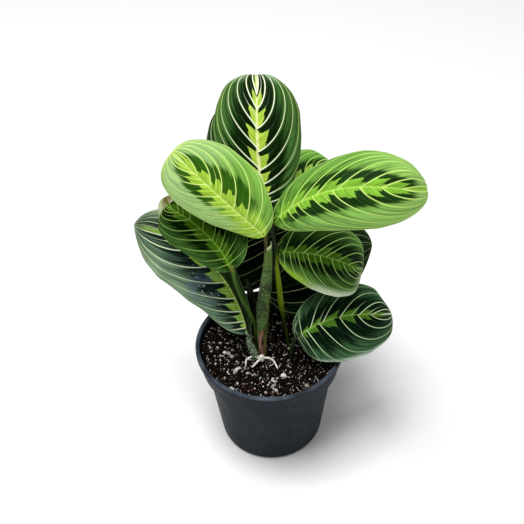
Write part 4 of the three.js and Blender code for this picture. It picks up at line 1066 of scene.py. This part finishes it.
def soil_piece(skin):
    """Body of soil inside the pot: a polar grid for its top and a turned outline below."""
    edge = inner_radius(SOIL_LEVEL) - SEAT_GAP
    turn = np.arange(SOIL_SIDES) / SOIL_SIDES * 2 * np.pi
    r = edge * np.linspace(1, 0.006, SOIL_RINGS)[:, None]
    x, y = r * np.cos(turn), r * np.sin(turn)
    top = np.stack([x, y, soil_top(x, y)], -1).reshape(-1, 3)
    foot_z = POT_FLOOR + SEAT_GAP
    low = np.array([(edge, 78), (inner_radius(LEDGE_TOP_Z) - SEAT_GAP, LEDGE_TOP_Z + SEAT_GAP),
                    (inner_radius(LEDGE_FOOT_Z) - SEAT_GAP, LEDGE_FOOT_Z + SEAT_GAP),
                    (inner_radius(POT_FLOOR) - SEAT_GAP - 0.6, foot_z), (20, foot_z), (1, foot_z)])
    body, _ = lathe_grid(low, SOIL_SIDES)
    points = np.vstack([body.reshape(len(low), SOIL_SIDES, 3)[::-1].reshape(-1, 3), top])
    quads = grid_faces(len(low) + SOIL_RINGS - 1, SOIL_SIDES, True).reshape(-1, 4)
    count = len(points)
    crest = soil_top(np.zeros(1), np.zeros(1))[0]
    points = np.vstack([points, [[0, 0, foot_z], [0, 0, crest]]])
    ends = np.vstack([fan(count, 0, SOIL_SIDES, True), fan(count + 1, count - SOIL_SIDES, SOIL_SIDES)])
    piece = make_piece("soil_bed", points, [dict(faces=quads), dict(faces=ends)], [skin], ["soil"])
    weld(piece)


def grain_shape():
    """A regular solid of 20 triangles with its corners on a ball of radius 1."""
    g = (1 + math.sqrt(5)) / 2
    corners = unit(np.array([(-1, g, 0), (1, g, 0), (-1, -g, 0), (1, -g, 0), (0, -1, g), (0, 1, g),
                             (0, -1, -g), (0, 1, -g), (g, 0, -1), (g, 0, 1), (-g, 0, -1), (-g, 0, 1)],
                            float))
    faces = np.array([(0, 11, 5), (0, 5, 1), (0, 1, 7), (0, 7, 10), (0, 10, 11), (1, 5, 9), (5, 11, 4),
                      (11, 10, 2), (10, 7, 6), (7, 1, 8), (3, 9, 4), (3, 4, 2), (3, 2, 6), (3, 6, 8),
                      (3, 8, 9), (4, 9, 5), (2, 4, 11), (6, 2, 10), (8, 6, 7), (9, 8, 1)])
    return corners, faces


def grains_piece(name, skin, x, y, size, stretch, rng, sunk=0.25, rough=0.28):
    """Many grains on the soil as one mesh: the 20-sided solid, its corners moved in or out
    at random, stretched along one axis, turned at random and set a little into the soil."""
    corners, faces = grain_shape()
    count = len(x)
    shape = corners[None] * (1 + rough * (rng.random((count, len(corners), 1)) * 2 - 1))
    axes = np.stack([stretch, np.ones(count), 0.75 + 0.2 * rng.random(count)], 1)
    shape = shape * (size[:, None] * axes)[:, None]
    q = unit(rng.normal(size=(count, 4)))
    w, a, b, c = q.T
    turn = np.stack([1 - 2 * (b * b + c * c), 2 * (a * b - c * w), 2 * (a * c + b * w),
                     2 * (a * b + c * w), 1 - 2 * (a * a + c * c), 2 * (b * c - a * w),
                     2 * (a * c - b * w), 2 * (b * c + a * w), 1 - 2 * (a * a + b * b)], -1)
    turn = turn.reshape(-1, 3, 3)
    flat = np.stack([np.ones(count), np.ones(count), 0.7 + 0.3 * (stretch < 1.5)], 1)[:, None]
    shape = np.einsum("nij,nkj->nki", turn, shape) * flat
    place = np.stack([x, y, soil_top(x, y) + size * (0.5 - sunk)], 1)
    points = (shape + place[:, None]).reshape(-1, 3)
    cells = (faces[None] + (np.arange(count) * len(corners))[:, None, None]).reshape(-1, 3)
    tone = np.repeat(rng.random(count), len(corners))
    make_piece(name, points, [dict(faces=cells)], [skin], attributes={"tone": tone}, smooth=False)


def scatter(count, rng):
    """Seeded places spread evenly over the soil's disc."""
    turn, r = rng.random(count) * 2 * np.pi, SCATTER_EDGE * np.sqrt(rng.random(count))
    return r * np.cos(turn), r * np.sin(turn)


# larger white lumps: place on the soil and size
WHITE_LUMPS = (
    (-28.8, -8.7, 1.9), (-31.2, -7.2, 1.6), (-26.6, -10.6, 1.8), (-24.6, -24.4, 1.7), (-21.8, -20.1, 1.4),
    (-23.4, -22.6, 1.5), (-16.0, -25.3, 1.7), (-27.2, -37.9, 1.5), (-25.4, -38.4, 1.2), (1.0, -30.5, 1.2),
    (1.8, -32.6, 1.1), (1.0, -38.7, 1.5), (1.2, -40.6, 1.2), (-3.8, -41.9, 1.2), (2.9, -41.4, 1.4),
    (8.1, -29.5, 1.7), (10.2, -28.6, 1.3), (12.0, -20.7, 1.2), (23.8, -37.1, 1.3), (35.1, -33.3, 1.3),
    (30.8, -32.9, 1.0), (-35.3, 3.4, 1.1), (-42.2, 19.0, 0.9), (-22.5, 1.4, 0.9), (3.1, 0.2, 0.8),
    (6.3, 19.7, 1.0), (11.5, -1.2, 1.1), (34.5, -23.1, 1.0), (-22.8, -34.2, 1.1),
)


def soil_cover(peat, chips, perlite):
    """Crumbs of peat, brown bark chips and white perlite over the whole bed."""
    rng = np.random.default_rng(11)
    x, y = scatter(CRUMB_COUNT, rng)
    size = 0.35 + 0.95 * rng.random(CRUMB_COUNT) ** 2.2
    grains_piece("soil_crumbs", peat, x, y, size, 0.8 + 0.9 * rng.random(CRUMB_COUNT), rng)
    x, y = scatter(CHIP_COUNT, rng)
    size = 0.26 + 0.5 * rng.random(CHIP_COUNT) ** 2
    grains_piece("soil_bark_chips", chips, x, y, size, 1.2 + 1.4 * rng.random(CHIP_COUNT), rng)
    x, y = scatter(PERLITE_COUNT, rng)
    size = 0.17 + 0.62 * rng.random(PERLITE_COUNT) ** 4.2
    lumps = np.array(WHITE_LUMPS)
    x, y, size = (np.concatenate([a, b]) for a, b in zip((x, y, size), lumps.T))
    grains_piece("soil_perlite", perlite, x, y, size, 0.9 + 0.5 * rng.random(len(x)), rng, 0.15, 0.45)


# ---------------------------------------------------------------- shoots, scales and roots
SHOOT_MAIN = dict(
    points=((-5.2, -9, 74), (-5.2, -9, 92), (-5, -8.8, 110), (-4.1, -8.4, 128), (-1.7, -6.9, 148),
            (0.3, -4.9, 165), (0.9, -3.3, 179.5)),
    across=(2.4, 2.8, 3.5, 4.1, 3.7, 2.7, 2.2), through=(2.2, 2.4, 2.9, 3.3, 3.4, 3.4, 3.2))
SHOOT_REAR = dict(
    points=((-3, 12, 74), (-2.5, 13, 100), (-0.8, 14.5, 125), (0.6, 16, 148)),
    across=(2.6, 2.9, 3.2, 3.4), through=(2.4, 2.6, 2.7, 2.4))


def shoot_piece(name, node, shoot, skin, steps=120, sides=48):
    """Shoot wrapped in leaf sheaths: an oval tube on the shoot's line. One sheath laps over
    the next along a seam that winds slowly round it, fine ribs run lengthwise, and the
    open top is a thin rim round a shallow hollow."""
    shares = np.linspace(0, 1, steps)
    line = smooth_line(shoot["points"], shares)
    knots = np.linspace(0, 1, len(shoot["across"]))
    across, through = np.interp(shares, knots, shoot["across"]), np.interp(shares, knots, shoot["through"])
    turn = np.arange(sides) / sides
    lap = (turn[None] - 0.62 - 0.25 * shares[:, None]) % 1
    skin_height = 0.28 * np.exp(-lap * 9) + 0.05 * np.cos(2 * np.pi * 22 * turn)[None]
    skin_height = skin_height * smooth_step(1 - shares, 0.02, 0.1)[:, None]
    wall, deep = across[:, None] + skin_height, through[:, None] + skin_height
    # the last rings turn inwards and down, so the top is an open rim
    line = np.vstack([line, line[-1] - unit(line[-1] - line[-2]) * np.array(RIM_DEPTHS)[:, None]])
    shrink = np.array(RIM_SHARES)[:, None]
    wall, deep = np.vstack([wall, wall[-1:] * shrink]), np.vstack([deep, deep[-1:] * shrink])
    # they keep the plane of the last ring before them, and the top rises towards +X
    ahead = unit(np.gradient(line[:steps], axis=0))
    ahead = np.vstack([ahead, np.repeat(ahead[-1:], len(RIM_DEPTHS), 0)])
    rings = oval_rings(line, ahead, np.array([1.0, 0, 0]), wall, deep)
    slant = SHEATH_SLANT * smooth_step(np.arange(len(line)) / steps, 0.9, 1)
    rings[..., 2] += slant[:, None] * np.cos(turn * 2 * np.pi)
    beyond = 1 + 0.01 * np.arange(1, len(RIM_DEPTHS) + 1)
    points, quads, ends, place = closed_tube(rings, line, np.append(shares, beyond), 1.04)
    parts = [dict(faces=faces, maps={"blade": map_of(place, faces)}) for faces in (quads, ends)]
    make_piece(name, points, parts, [skin], [node])


DRIED_SHEATH = dict(
    midrib=((-5.2, -12.9, 79), (-6.2, -13.2, 90), (-6.4, -13.3, 100), (-4.8, -13.3, 113)),
    face=((0, -1, 0.1), (0, -1, 0.1)), half=(2.6, 2.6), lift=(0, 0), curl=(62, 62), wave=(0, 1, 0, 0),
    roll=(0, 0))
OLD_SHEATH = dict(
    midrib=((-7, 5.5, 78), (-8.5, 5, 100), (-10.5, 4, 122), (-14, 2.5, 146)),
    face=((-0.2, -1, 0.1), (-0.3, -1, 0.1)), half=(3.4, 3.4), lift=(0, 0), curl=(60, 60),
    wave=(0.3, 3, 0, 0.3),
    roll=(0, 0))


def scale_piece(name, node, scale, skin, wrinkle, seed):
    """Papery scale that clasps a shoot: the blade's surface with lengthwise wrinkles and a
    torn margin, as two sheets that meet round the edge."""
    rows, columns = 90, 36
    rng = np.random.default_rng(seed)
    s = np.repeat(((1 - np.cos(np.linspace(0, np.pi, rows + 1))) / 2)[:, None], columns + 1, 1)
    t = np.repeat(np.linspace(-1, 1, columns + 1)[None], rows + 1, 0)
    phase = rng.random(8) * 2 * np.pi
    torn = sum(np.sin((9 + 11 * k) * s + phase[k] + 3 * np.sign(t)) / (k + 2) for k in range(5))
    middle, normal = blade_surface(scale, s, t * (1 - 0.09 * np.abs(t) ** 3 * (1 + torn)))
    fold = sum(np.sin((5 + 4 * k) * t + 2.2 * np.sin(3 * s + phase[k]) + phase[-k]) / (k + 1)
               for k in range(4))
    middle = middle + normal * (wrinkle * fold * np.sqrt(outline(s)))[..., None]
    step = columns + 1
    count = (rows + 1) * step
    points = np.vstack([(middle + normal * 0.16).reshape(-1, 3), (middle - normal * 0.16).reshape(-1, 3)])
    cells = grid_faces(rows, columns).reshape(-1, 4)
    place = np.stack([s, (t + 1) / 2], -1).reshape(-1, 2)
    place = np.vstack([place, place])
    left = np.arange(rows) * step
    right = left + columns
    rim = np.vstack([np.stack([left + step, left, left + count, left + step + count], 1),
                     np.stack([right, right + step, right + step + count, right + count], 1)])
    parts = [dict(faces=f, maps={"blade": place[f]}) for f in (cells, cells[:, ::-1] + count, rim)]
    weld(make_piece(name, points, parts, [skin], [node]))


CROWN_CENTRE = (-6.1, -14.6, 86.2)
CROWN_HALF = (2.1, 2.1, 2.8)
ROOT_RADIUS = (0.85, 0.5)
ROOTS = (
    ((-7, -14.8, 86.5), (-12.7, -12.4, 85.6), (-16.6, -14.5, 84.8), (-16.6, -19, 84.2),
     (-12.4, -20.4, 84.2)),
    ((-5.2, -14.6, 86.8), (0.4, -15.2, 85.8), (3.1, -18.6, 85), (5, -23.2, 83.4)),
    ((-7.4, -15.4, 85.6), (-10.6, -18.4, 84.6), (-12.8, -20.6, 83.8)),
)


def roots_piece(skin):
    """Pale crown knob, a lumpy ball, and the roots that arch out of it, each a tapering tube
    with knots along it and a few hair roots."""
    rng = np.random.default_rng(21)
    rows, sides = 26, 40
    count = rows * sides
    around = np.arange(sides) / sides * 2 * np.pi
    lat, lon = np.meshgrid(np.linspace(0.02, np.pi - 0.02, rows), around, indexing="ij")
    ball = np.stack([np.sin(lat) * np.cos(lon), np.sin(lat) * np.sin(lon), np.cos(lat)], -1)
    lump = 1 + 0.13 * np.sin(5 * lon + 2 * np.cos(3 * lat)) * np.sin(lat) + 0.08 * np.sin(9 * lat + 3 * lon)
    knob = np.asarray(CROWN_CENTRE) + ball * lump[..., None] * CROWN_HALF
    clouds = [np.vstack([knob.reshape(-1, 3), knob[0].mean(0)[None], knob[-1].mean(0)[None]])]
    parts = [dict(faces=grid_faces(rows - 1, sides, True).reshape(-1, 4)[:, ::-1]),
             dict(faces=fan(count, 0, sides)), dict(faces=fan(count + 1, count - sides, sides, True))]
    start = len(clouds[0])
    strands = [(np.array(points), ROOT_RADIUS[0], ROOT_RADIUS[1]) for points in ROOTS]
    for points in ROOTS[:2]:
        for k in (1, 2, 3):
            base = np.array(points[k])
            way = rng.normal(size=3) * (2.4, 2.4, 0.5)
            strands.append((np.array([base, base + way * 0.5 + (0, 0, 0.4), base + way]), 0.24, 0.12))
    for points, thick, thin in strands:
        shares = np.linspace(0, 1, 14 * len(points))
        line = smooth_line(points, shares)
        line = line + 0.12 * np.sin(shares[:, None] * 23 + np.array([0, 2, 4]))
        knots = 1 + 0.16 * np.sin(shares * 31 + thick * 9) + 0.1 * np.sin(shares * 57)
        radius = (thick + (thin - thick) * shares) * knots
        radius[-3:] *= np.array([0.85, 0.6, 0.3])
        tube, quads, ends, _ = round_tube(line, radius, 12)
        clouds.append(tube)
        parts += [dict(faces=quads + start), dict(faces=ends + start)]
        start += len(tube)
    weld(make_piece("surface_roots_pale", np.vstack(clouds), parts, [skin], ["surface_roots"]))


# ---------------------------------------------------------------- pot, soil and scale materials
def pot_plastic():
    """Injection-moulded polypropylene nursery pot: charcoal, faintly blue, semi-matt, with
    the soft grain of the mould, dusty marks, and a lighter band round the lip's edge that is
    a painted highlight."""
    material, tree = new_material("pot_polypropylene_moulded")
    place = add_node(tree, "TexCoord", output=3)
    xyz = add_node(tree, "SeparateXYZ", {0: place}).node
    cloud = add_node(tree, "TexNoise", {"Vector": place, "Scale": 55.0, "Detail": 4.0})
    tall = add_node(tree, "VectorMath", {0: place, 1: (1.0, 1.0, 0.12)}, operation="MULTIPLY")
    drawn = add_node(tree, "TexNoise", {"Vector": tall, "Scale": 420.0, "Detail": 3.0})
    # painted highlight: a lighter band round the top of the lip, broken up by the cloud noise
    lip_highlight = add_node(tree, "MapRange", {0: xyz.outputs[2], 1: 0.0856, 2: 0.0872, 3: 0.0, 4: 0.85}, **SMOOTH)
    patch = add_node(tree, "MapRange", {0: cloud, 1: 0.38, 2: 0.62, 3: 0.15, 4: 1.0})
    lip_highlight = add_node(tree, "Math", {0: lip_highlight, 1: patch}, operation="MULTIPLY")
    base = add_node(tree, "Mix", {0: cloud, 6: "#13191F", 7: "#1F272F"}, **IN_COLOUR)
    streak = add_node(tree, "MapRange", {0: drawn, 1: 0.3, 2: 0.7, 3: 0.86, 4: 1.16})
    base = add_node(tree, "VectorMath", {0: base, 3: streak}, operation="SCALE")
    colour = add_node(tree, "Mix", {0: lip_highlight, 6: base, 7: "#55606C"}, **IN_COLOUR)
    fleck = add_node(tree, "TexNoise", {"Vector": place, "Scale": 900.0, "Detail": 1.0})
    dust = add_node(tree, "MapRange", {0: fleck, 1: 0.66, 2: 0.74, 3: 0.0, 4: 0.14})
    colour = add_node(tree, "Mix", {0: dust, 6: colour, 7: "#8A929A"}, **IN_COLOUR)
    grain = add_node(tree, "TexNoise", {"Vector": place, "Scale": 1900.0, "Detail": 2.0})
    relief = add_node(tree, "Math", {0: drawn, 1: 0.6, 2: grain}, operation="MULTIPLY_ADD")
    rough = add_node(tree, "MapRange", {0: cloud, 1: 0.3, 2: 0.7, 3: 0.42, 4: 0.6})
    finish_surface(tree, colour, rough, relief, 0.0001, IOR=1.49, Specular_IOR_Level=0.06)
    return material


def soil_earth(name, dark_hex, brown_hex, light_hex, share, by_tone=False):
    """Peat-based potting mix: near-black damp crumbs with brown fibre; fully matt."""
    material, tree = new_material(name)
    place = add_node(tree, "TexCoord", output=3)
    crumb = add_node(tree, "TexNoise", {"Vector": place, "Scale": 700.0, "Detail": 4.0})
    speck = add_node(tree, "TexVoronoi", {"Vector": place, "Scale": 900.0})
    mixed = add_node(tree, "MapRange", {0: crumb, 1: 0.35, 2: 0.65, 3: 0.0, 4: 1.0})
    if by_tone:
        tone = add_node(tree, "Attribute", output=2, attribute_name="tone")
        mixed = add_node(tree, "Math", {0: tone, 1: 0.75, 2: mixed}, operation="MULTIPLY_ADD")
        mixed = add_node(tree, "Math", {0: mixed, 1: 0.6}, operation="MULTIPLY")
    colour = add_node(tree, "Mix", {0: mixed, 6: dark_hex, 7: brown_hex}, **IN_COLOUR)
    bright = add_node(tree, "MapRange", {0: speck, 1: 0.0, 2: 0.22, 3: share, 4: 0.0})
    colour = add_node(tree, "Mix", {0: bright, 6: colour, 7: light_hex}, **IN_COLOUR)
    rough = add_node(tree, "MapRange", {0: crumb, 1: 0.3, 2: 0.7, 3: 0.8, 4: 1.0})
    finish_surface(tree, colour, rough, crumb, 0.0006, Specular_IOR_Level=0.02)
    return material


def perlite_glass():
    """Expanded perlite: chalk-white foamed glass with pits and a little peat on it."""
    material, tree = new_material("perlite_foamed_glass")
    place = add_node(tree, "TexCoord", output=3)
    tone = add_node(tree, "Attribute", output=2, attribute_name="tone")
    pits = add_node(tree, "TexNoise", {"Vector": place, "Scale": 1300.0, "Detail": 3.0})
    stain = add_node(tree, "MapRange", {0: pits, 1: 0.5, 2: 0.72, 3: 0.0, 4: 0.65})
    colour = add_node(tree, "Mix", {0: tone, 6: "#F3F2EC", 7: "#8E8A82"}, **IN_COLOUR)
    colour = add_node(tree, "Mix", {0: stain, 6: colour, 7: "#7B6C5C"}, **IN_COLOUR)
    rough = add_node(tree, "MapRange", {0: pits, 1: 0.3, 2: 0.7, 3: 0.7, 4: 0.95})
    finish_surface(tree, colour, rough, pits, 0.0003)
    return material


def sheath_skin():
    """Green leaf sheath: waxy, finely ribbed lengthwise, covered in short pale hairs, browner
    at its foot, and drying pale at the open rim."""
    material, tree = new_material("sheath_hairy_green")
    place = add_node(tree, "UVMap", uv_map="blade")
    split = add_node(tree, "SeparateXYZ", {0: place}).node
    here = add_node(tree, "TexCoord", output=3)
    rib_at = add_node(tree, "VectorMath", {0: place, 1: (5.0, 26.0, 1.0)}, operation="MULTIPLY")
    rib = add_node(tree, "TexNoise", {"Vector": rib_at, "Scale": 1.0, "Detail": 3.0})
    broad = add_node(tree, "TexNoise", {"Vector": here, "Scale": 90.0, "Detail": 2.0})
    blend = add_node(tree, "MapRange", {0: broad, 1: 0.38, 2: 0.62, 3: 0.0, 4: 1.0})
    low = add_node(tree, "Mix", {0: blend, 6: "#1A2E0C", 7: "#46692A"}, **IN_COLOUR)
    upper = add_node(tree, "MapRange", {0: split.outputs[0], 1: 0.74, 2: 0.9, 3: 0.0, 4: 1.0})
    colour = add_node(tree, "Mix", {0: upper, 6: low, 7: "#4E6A22"}, **IN_COLOUR)
    shade = add_node(tree, "MapRange", {0: rib, 1: 0.3, 2: 0.7, 3: 0.75, 4: 1.25})
    colour = add_node(tree, "VectorMath", {0: colour, 3: shade}, operation="SCALE")
    russet = add_node(tree, "TexNoise", {"Vector": here, "Scale": 420.0, "Detail": 2.0})
    russet = add_node(tree, "MapRange", {0: russet, 1: 0.54, 2: 0.66, 3: 0.0, 4: 0.4})
    colour = add_node(tree, "Mix", {0: russet, 6: colour, 7: "#5C4A2C"}, **IN_COLOUR)
    foot = add_node(tree, "MapRange", {0: split.outputs[0], 1: 0.16, 2: 0.34, 3: 0.8, 4: 0.0})
    colour = add_node(tree, "Mix", {0: foot, 6: colour, 7: "#7A6A2E"}, **IN_COLOUR)
    # hairs: pale flecks about 0.3 mm wide and three times as long
    long = add_node(tree, "VectorMath", {0: here, 1: (1.0, 1.0, 0.35)}, operation="MULTIPLY")
    hair = add_node(tree, "TexNoise", {"Vector": long, "Scale": 1500.0, "Detail": 1.0})
    hair = add_node(tree, "MapRange", {0: hair, 1: 0.54, 2: 0.68, 3: 0.0, 4: 0.42})
    colour = add_node(tree, "Mix", {0: hair, 6: colour, 7: "#A8B48A"}, **IN_COLOUR)
    rim = add_node(tree, "MapRange", {0: split.outputs[0], 1: 0.965, 2: 0.99, 3: 0.0, 4: 0.9})
    colour = add_node(tree, "Mix", {0: rim, 6: colour, 7: "#D2D8A8"}, **IN_COLOUR)
    relief = add_node(tree, "Math", {0: hair, 1: 1.5, 2: rib}, operation="MULTIPLY_ADD")
    rough = add_node(tree, "MapRange", {0: rib, 1: 0.3, 2: 0.7, 3: 0.45, 4: 0.62})
    finish_surface(tree, colour, rough, relief, 0.00015, IOR=1.45, Specular_IOR_Level=0.1)
    return material


def papery_skin(name, dark_hex, light_hex, tip_hex):
    """Dried leaf sheath: papery, streaked lengthwise, paler where it has split."""
    material, tree = new_material(name)
    place = add_node(tree, "UVMap", uv_map="blade")
    split = add_node(tree, "SeparateXYZ", {0: place}).node
    fibre_at = add_node(tree, "VectorMath", {0: place, 1: (2.2, 10.0, 1.0)}, operation="MULTIPLY")
    fibre = add_node(tree, "TexNoise", {"Vector": fibre_at, "Scale": 1.0, "Detail": 4.0, "Roughness": 0.65})
    mixed = add_node(tree, "MapRange", {0: fibre, 1: 0.45, 2: 0.55, 3: 0.0, 4: 1.0})
    colour = add_node(tree, "Mix", {0: mixed, 6: dark_hex, 7: light_hex}, **IN_COLOUR)
    tip = add_node(tree, "MapRange", {0: split.outputs[0], 1: 0.8, 2: 1.0, 3: 0.0, 4: 0.7})
    colour = add_node(tree, "Mix", {0: tip, 6: colour, 7: tip_hex}, **IN_COLOUR)
    rough = add_node(tree, "MapRange", {0: fibre, 1: 0.3, 2: 0.7, 3: 0.6, 4: 0.85})
    finish_surface(tree, colour, rough, fibre, 0.0003, Specular_IOR_Level=0.1)
    return material


def root_skin():
    """Fleshy young root: ivory, waxy, with soil-stained creases."""
    material, tree = new_material("root_ivory_fleshy")
    place = add_node(tree, "TexCoord", output=3)
    stain = add_node(tree, "TexNoise", {"Vector": place, "Scale": 650.0, "Detail": 4.0})
    mixed = add_node(tree, "MapRange", {0: stain, 1: 0.48, 2: 0.7, 3: 0.0, 4: 0.8})
    colour = add_node(tree, "Mix", {0: mixed, 6: "#F0EEE2", 7: "#8E8468"}, **IN_COLOUR)
    rough = add_node(tree, "MapRange", {0: stain, 1: 0.3, 2: 0.7, 3: 0.45, 4: 0.75})
    finish_surface(tree, colour, rough, stain, 0.0003, Subsurface_Weight=0.15, Subsurface_Scale=0.002)
    return material


# ---------------------------------------------------------------- camera, floor and light
# the view was fitted to the pot's outline in the photo, then rounded
PITCH = math.radians(41.3)        # how far the camera looks down
TILT = math.radians(-2.0)         # its turn about its own axis
CAMERA_DISTANCE = 540.0           # along the view, to the middle of the pot's lip
PHOTO_SIDE = 524                  # pixels
LIP_MIDDLE_PIXEL = (269.6, 340.5)
FOCAL_PIXELS = 765.0
SENSOR_WIDTH = 36.0


def set_camera():
    """Camera that looks down by PITCH, is turned about its own axis by TILT, and stands where
    the middle of the pot's lip falls on its pixel of the photo."""
    ahead = np.array([0, math.cos(PITCH), -math.sin(PITCH)])
    up = np.array([0, math.sin(PITCH), math.cos(PITCH)])
    right = np.array([1.0, 0, 0])
    turned_right = right * math.cos(TILT) + up * math.sin(TILT)
    turned_up = up * math.cos(TILT) - right * math.sin(TILT)
    aside = (LIP_MIDDLE_PIXEL[0] - PHOTO_SIDE / 2) / FOCAL_PIXELS * CAMERA_DISTANCE
    above = (PHOTO_SIDE / 2 - LIP_MIDDLE_PIXEL[1]) / FOCAL_PIXELS * CAMERA_DISTANCE
    eye = np.array([0, 0, POT_HEIGHT]) - ahead * CAMERA_DISTANCE - turned_right * aside - turned_up * above
    data = bpy.data.cameras.new("camera")
    data.sensor_width = SENSOR_WIDTH
    data.lens = SENSOR_WIDTH * FOCAL_PIXELS / PHOTO_SIDE
    camera = bpy.data.objects.new("camera", data)
    axes = np.eye(4)
    axes[:3, 0], axes[:3, 1], axes[:3, 2] = turned_right, turned_up, -ahead
    axes[:3, 3] = eye * 0.001
    camera.matrix_world = Matrix(axes.tolist())
    bpy.context.scene.collection.objects.link(camera)
    bpy.context.scene.camera = camera


def set_stage():
    """White floor under the pot, which is not part of the object."""
    mesh = bpy.data.meshes.new("floor")
    half = 3.0
    mesh.from_pydata([(-half, -half, 0), (half, -half, 0), (half, half, 0), (-half, half, 0)], [],
                     [(0, 1, 2, 3)])
    floor = bpy.data.objects.new("floor", mesh)
    bpy.context.scene.collection.objects.link(floor)
    material, tree = new_material("studio_paper")
    surface = add_node(tree, "BsdfPrincipled", {"Base Color": "#F4F4F4", "Roughness": 0.9})
    add_node(tree, "OutputMaterial", {"Surface": surface})
    mesh.materials.append(material)


def add_lamp(name, place, size, power, aim=(0, 0.02, 0.12)):
    """A square soft box in metres that faces the plant."""
    data = bpy.data.lights.new(name, "AREA")
    data.shape = "SQUARE"
    data.size = size
    data.energy = power
    lamp = bpy.data.objects.new(name, data)
    back = unit(np.array(place, float) - np.array(aim, float))
    side = unit(np.cross([0.0, 0.0, 1.0], back))
    axes = np.eye(4)
    axes[:3, 0], axes[:3, 1], axes[:3, 2], axes[:3, 3] = side, np.cross(back, side), back, place
    lamp.matrix_world = Matrix(axes.tolist())
    bpy.context.scene.collection.objects.link(lamp)


def set_light():
    """Soft overhead key a little from the left, and an even white surround."""
    add_lamp("key", (-0.4, -0.1, 2.4), 1.2, 63.0)
    add_lamp("fill", (1.4, -1.8, 1.2), 1.4, 8.0)
    world = bpy.data.worlds.new("studio")
    world.use_nodes = True
    world.node_tree.nodes.clear()
    light = add_node(world.node_tree, "Background", {"Color": (1, 1, 1, 1), "Strength": 0.26})
    add_node(world.node_tree, "OutputWorld", {"Surface": light})
    bpy.context.scene.world = world
    bpy.context.scene.view_settings.view_transform = "Standard"


# ---------------------------------------------------------------- putting it together
set_camera()
set_stage()
set_light()

under_skin = leaf_under("leaf_underside_matt", "#6F8C5C", "#93AE7C")
scorched_skin = leaf_under("leaf_underside_scorched_tip", "#6F8C5C", "#93AE7C", True)
stalk_skins = {stem: stalk_skin("leaf_stalk_waxy_" + stem, **colours) for stem, colours in STEMS.items()}
for order, (name, leaf) in enumerate(LEAVES.items()):
    upper_skin = leaf_upper(name + "_satin", LOOKS[leaf["look"]])
    below = scorched_skin if leaf["look"] == "shaded_left" else under_skin
    leaf_piece(name, leaf, order, upper_skin, below, stalk_skins[leaf["stem"]])

pot_piece(pot_plastic())
soil_piece(soil_earth("soil_peat_damp", "#040302", "#150E0A", "#4A3628", 0.2))
soil_cover(soil_earth("soil_peat_crumbs", "#030202", "#1E1612", "#94867A", 0.5, True),
           soil_earth("soil_bark_chips_brown", "#3A261C", "#8A6A58", "#B09078", 0.2, True), perlite_glass())
green_sheath = sheath_skin()
shoot_piece("shoot_main_sheathed", "shoot_main", SHOOT_MAIN, green_sheath)
shoot_piece("shoot_rear_sheathed", "shoot_rear", SHOOT_REAR, green_sheath)
scale_piece("dried_sheath_papery", "dried_sheath", DRIED_SHEATH,
            papery_skin("sheath_dried_brown", "#120804", "#B88A72", "#94684E"), 0.16, 5)
scale_piece("old_sheath_papery", "old_sheath", OLD_SHEATH,
            papery_skin("sheath_old_olive", "#0E1408", "#262C12", "#1E2410"), 0.14, 8)
roots_piece(root_skin())
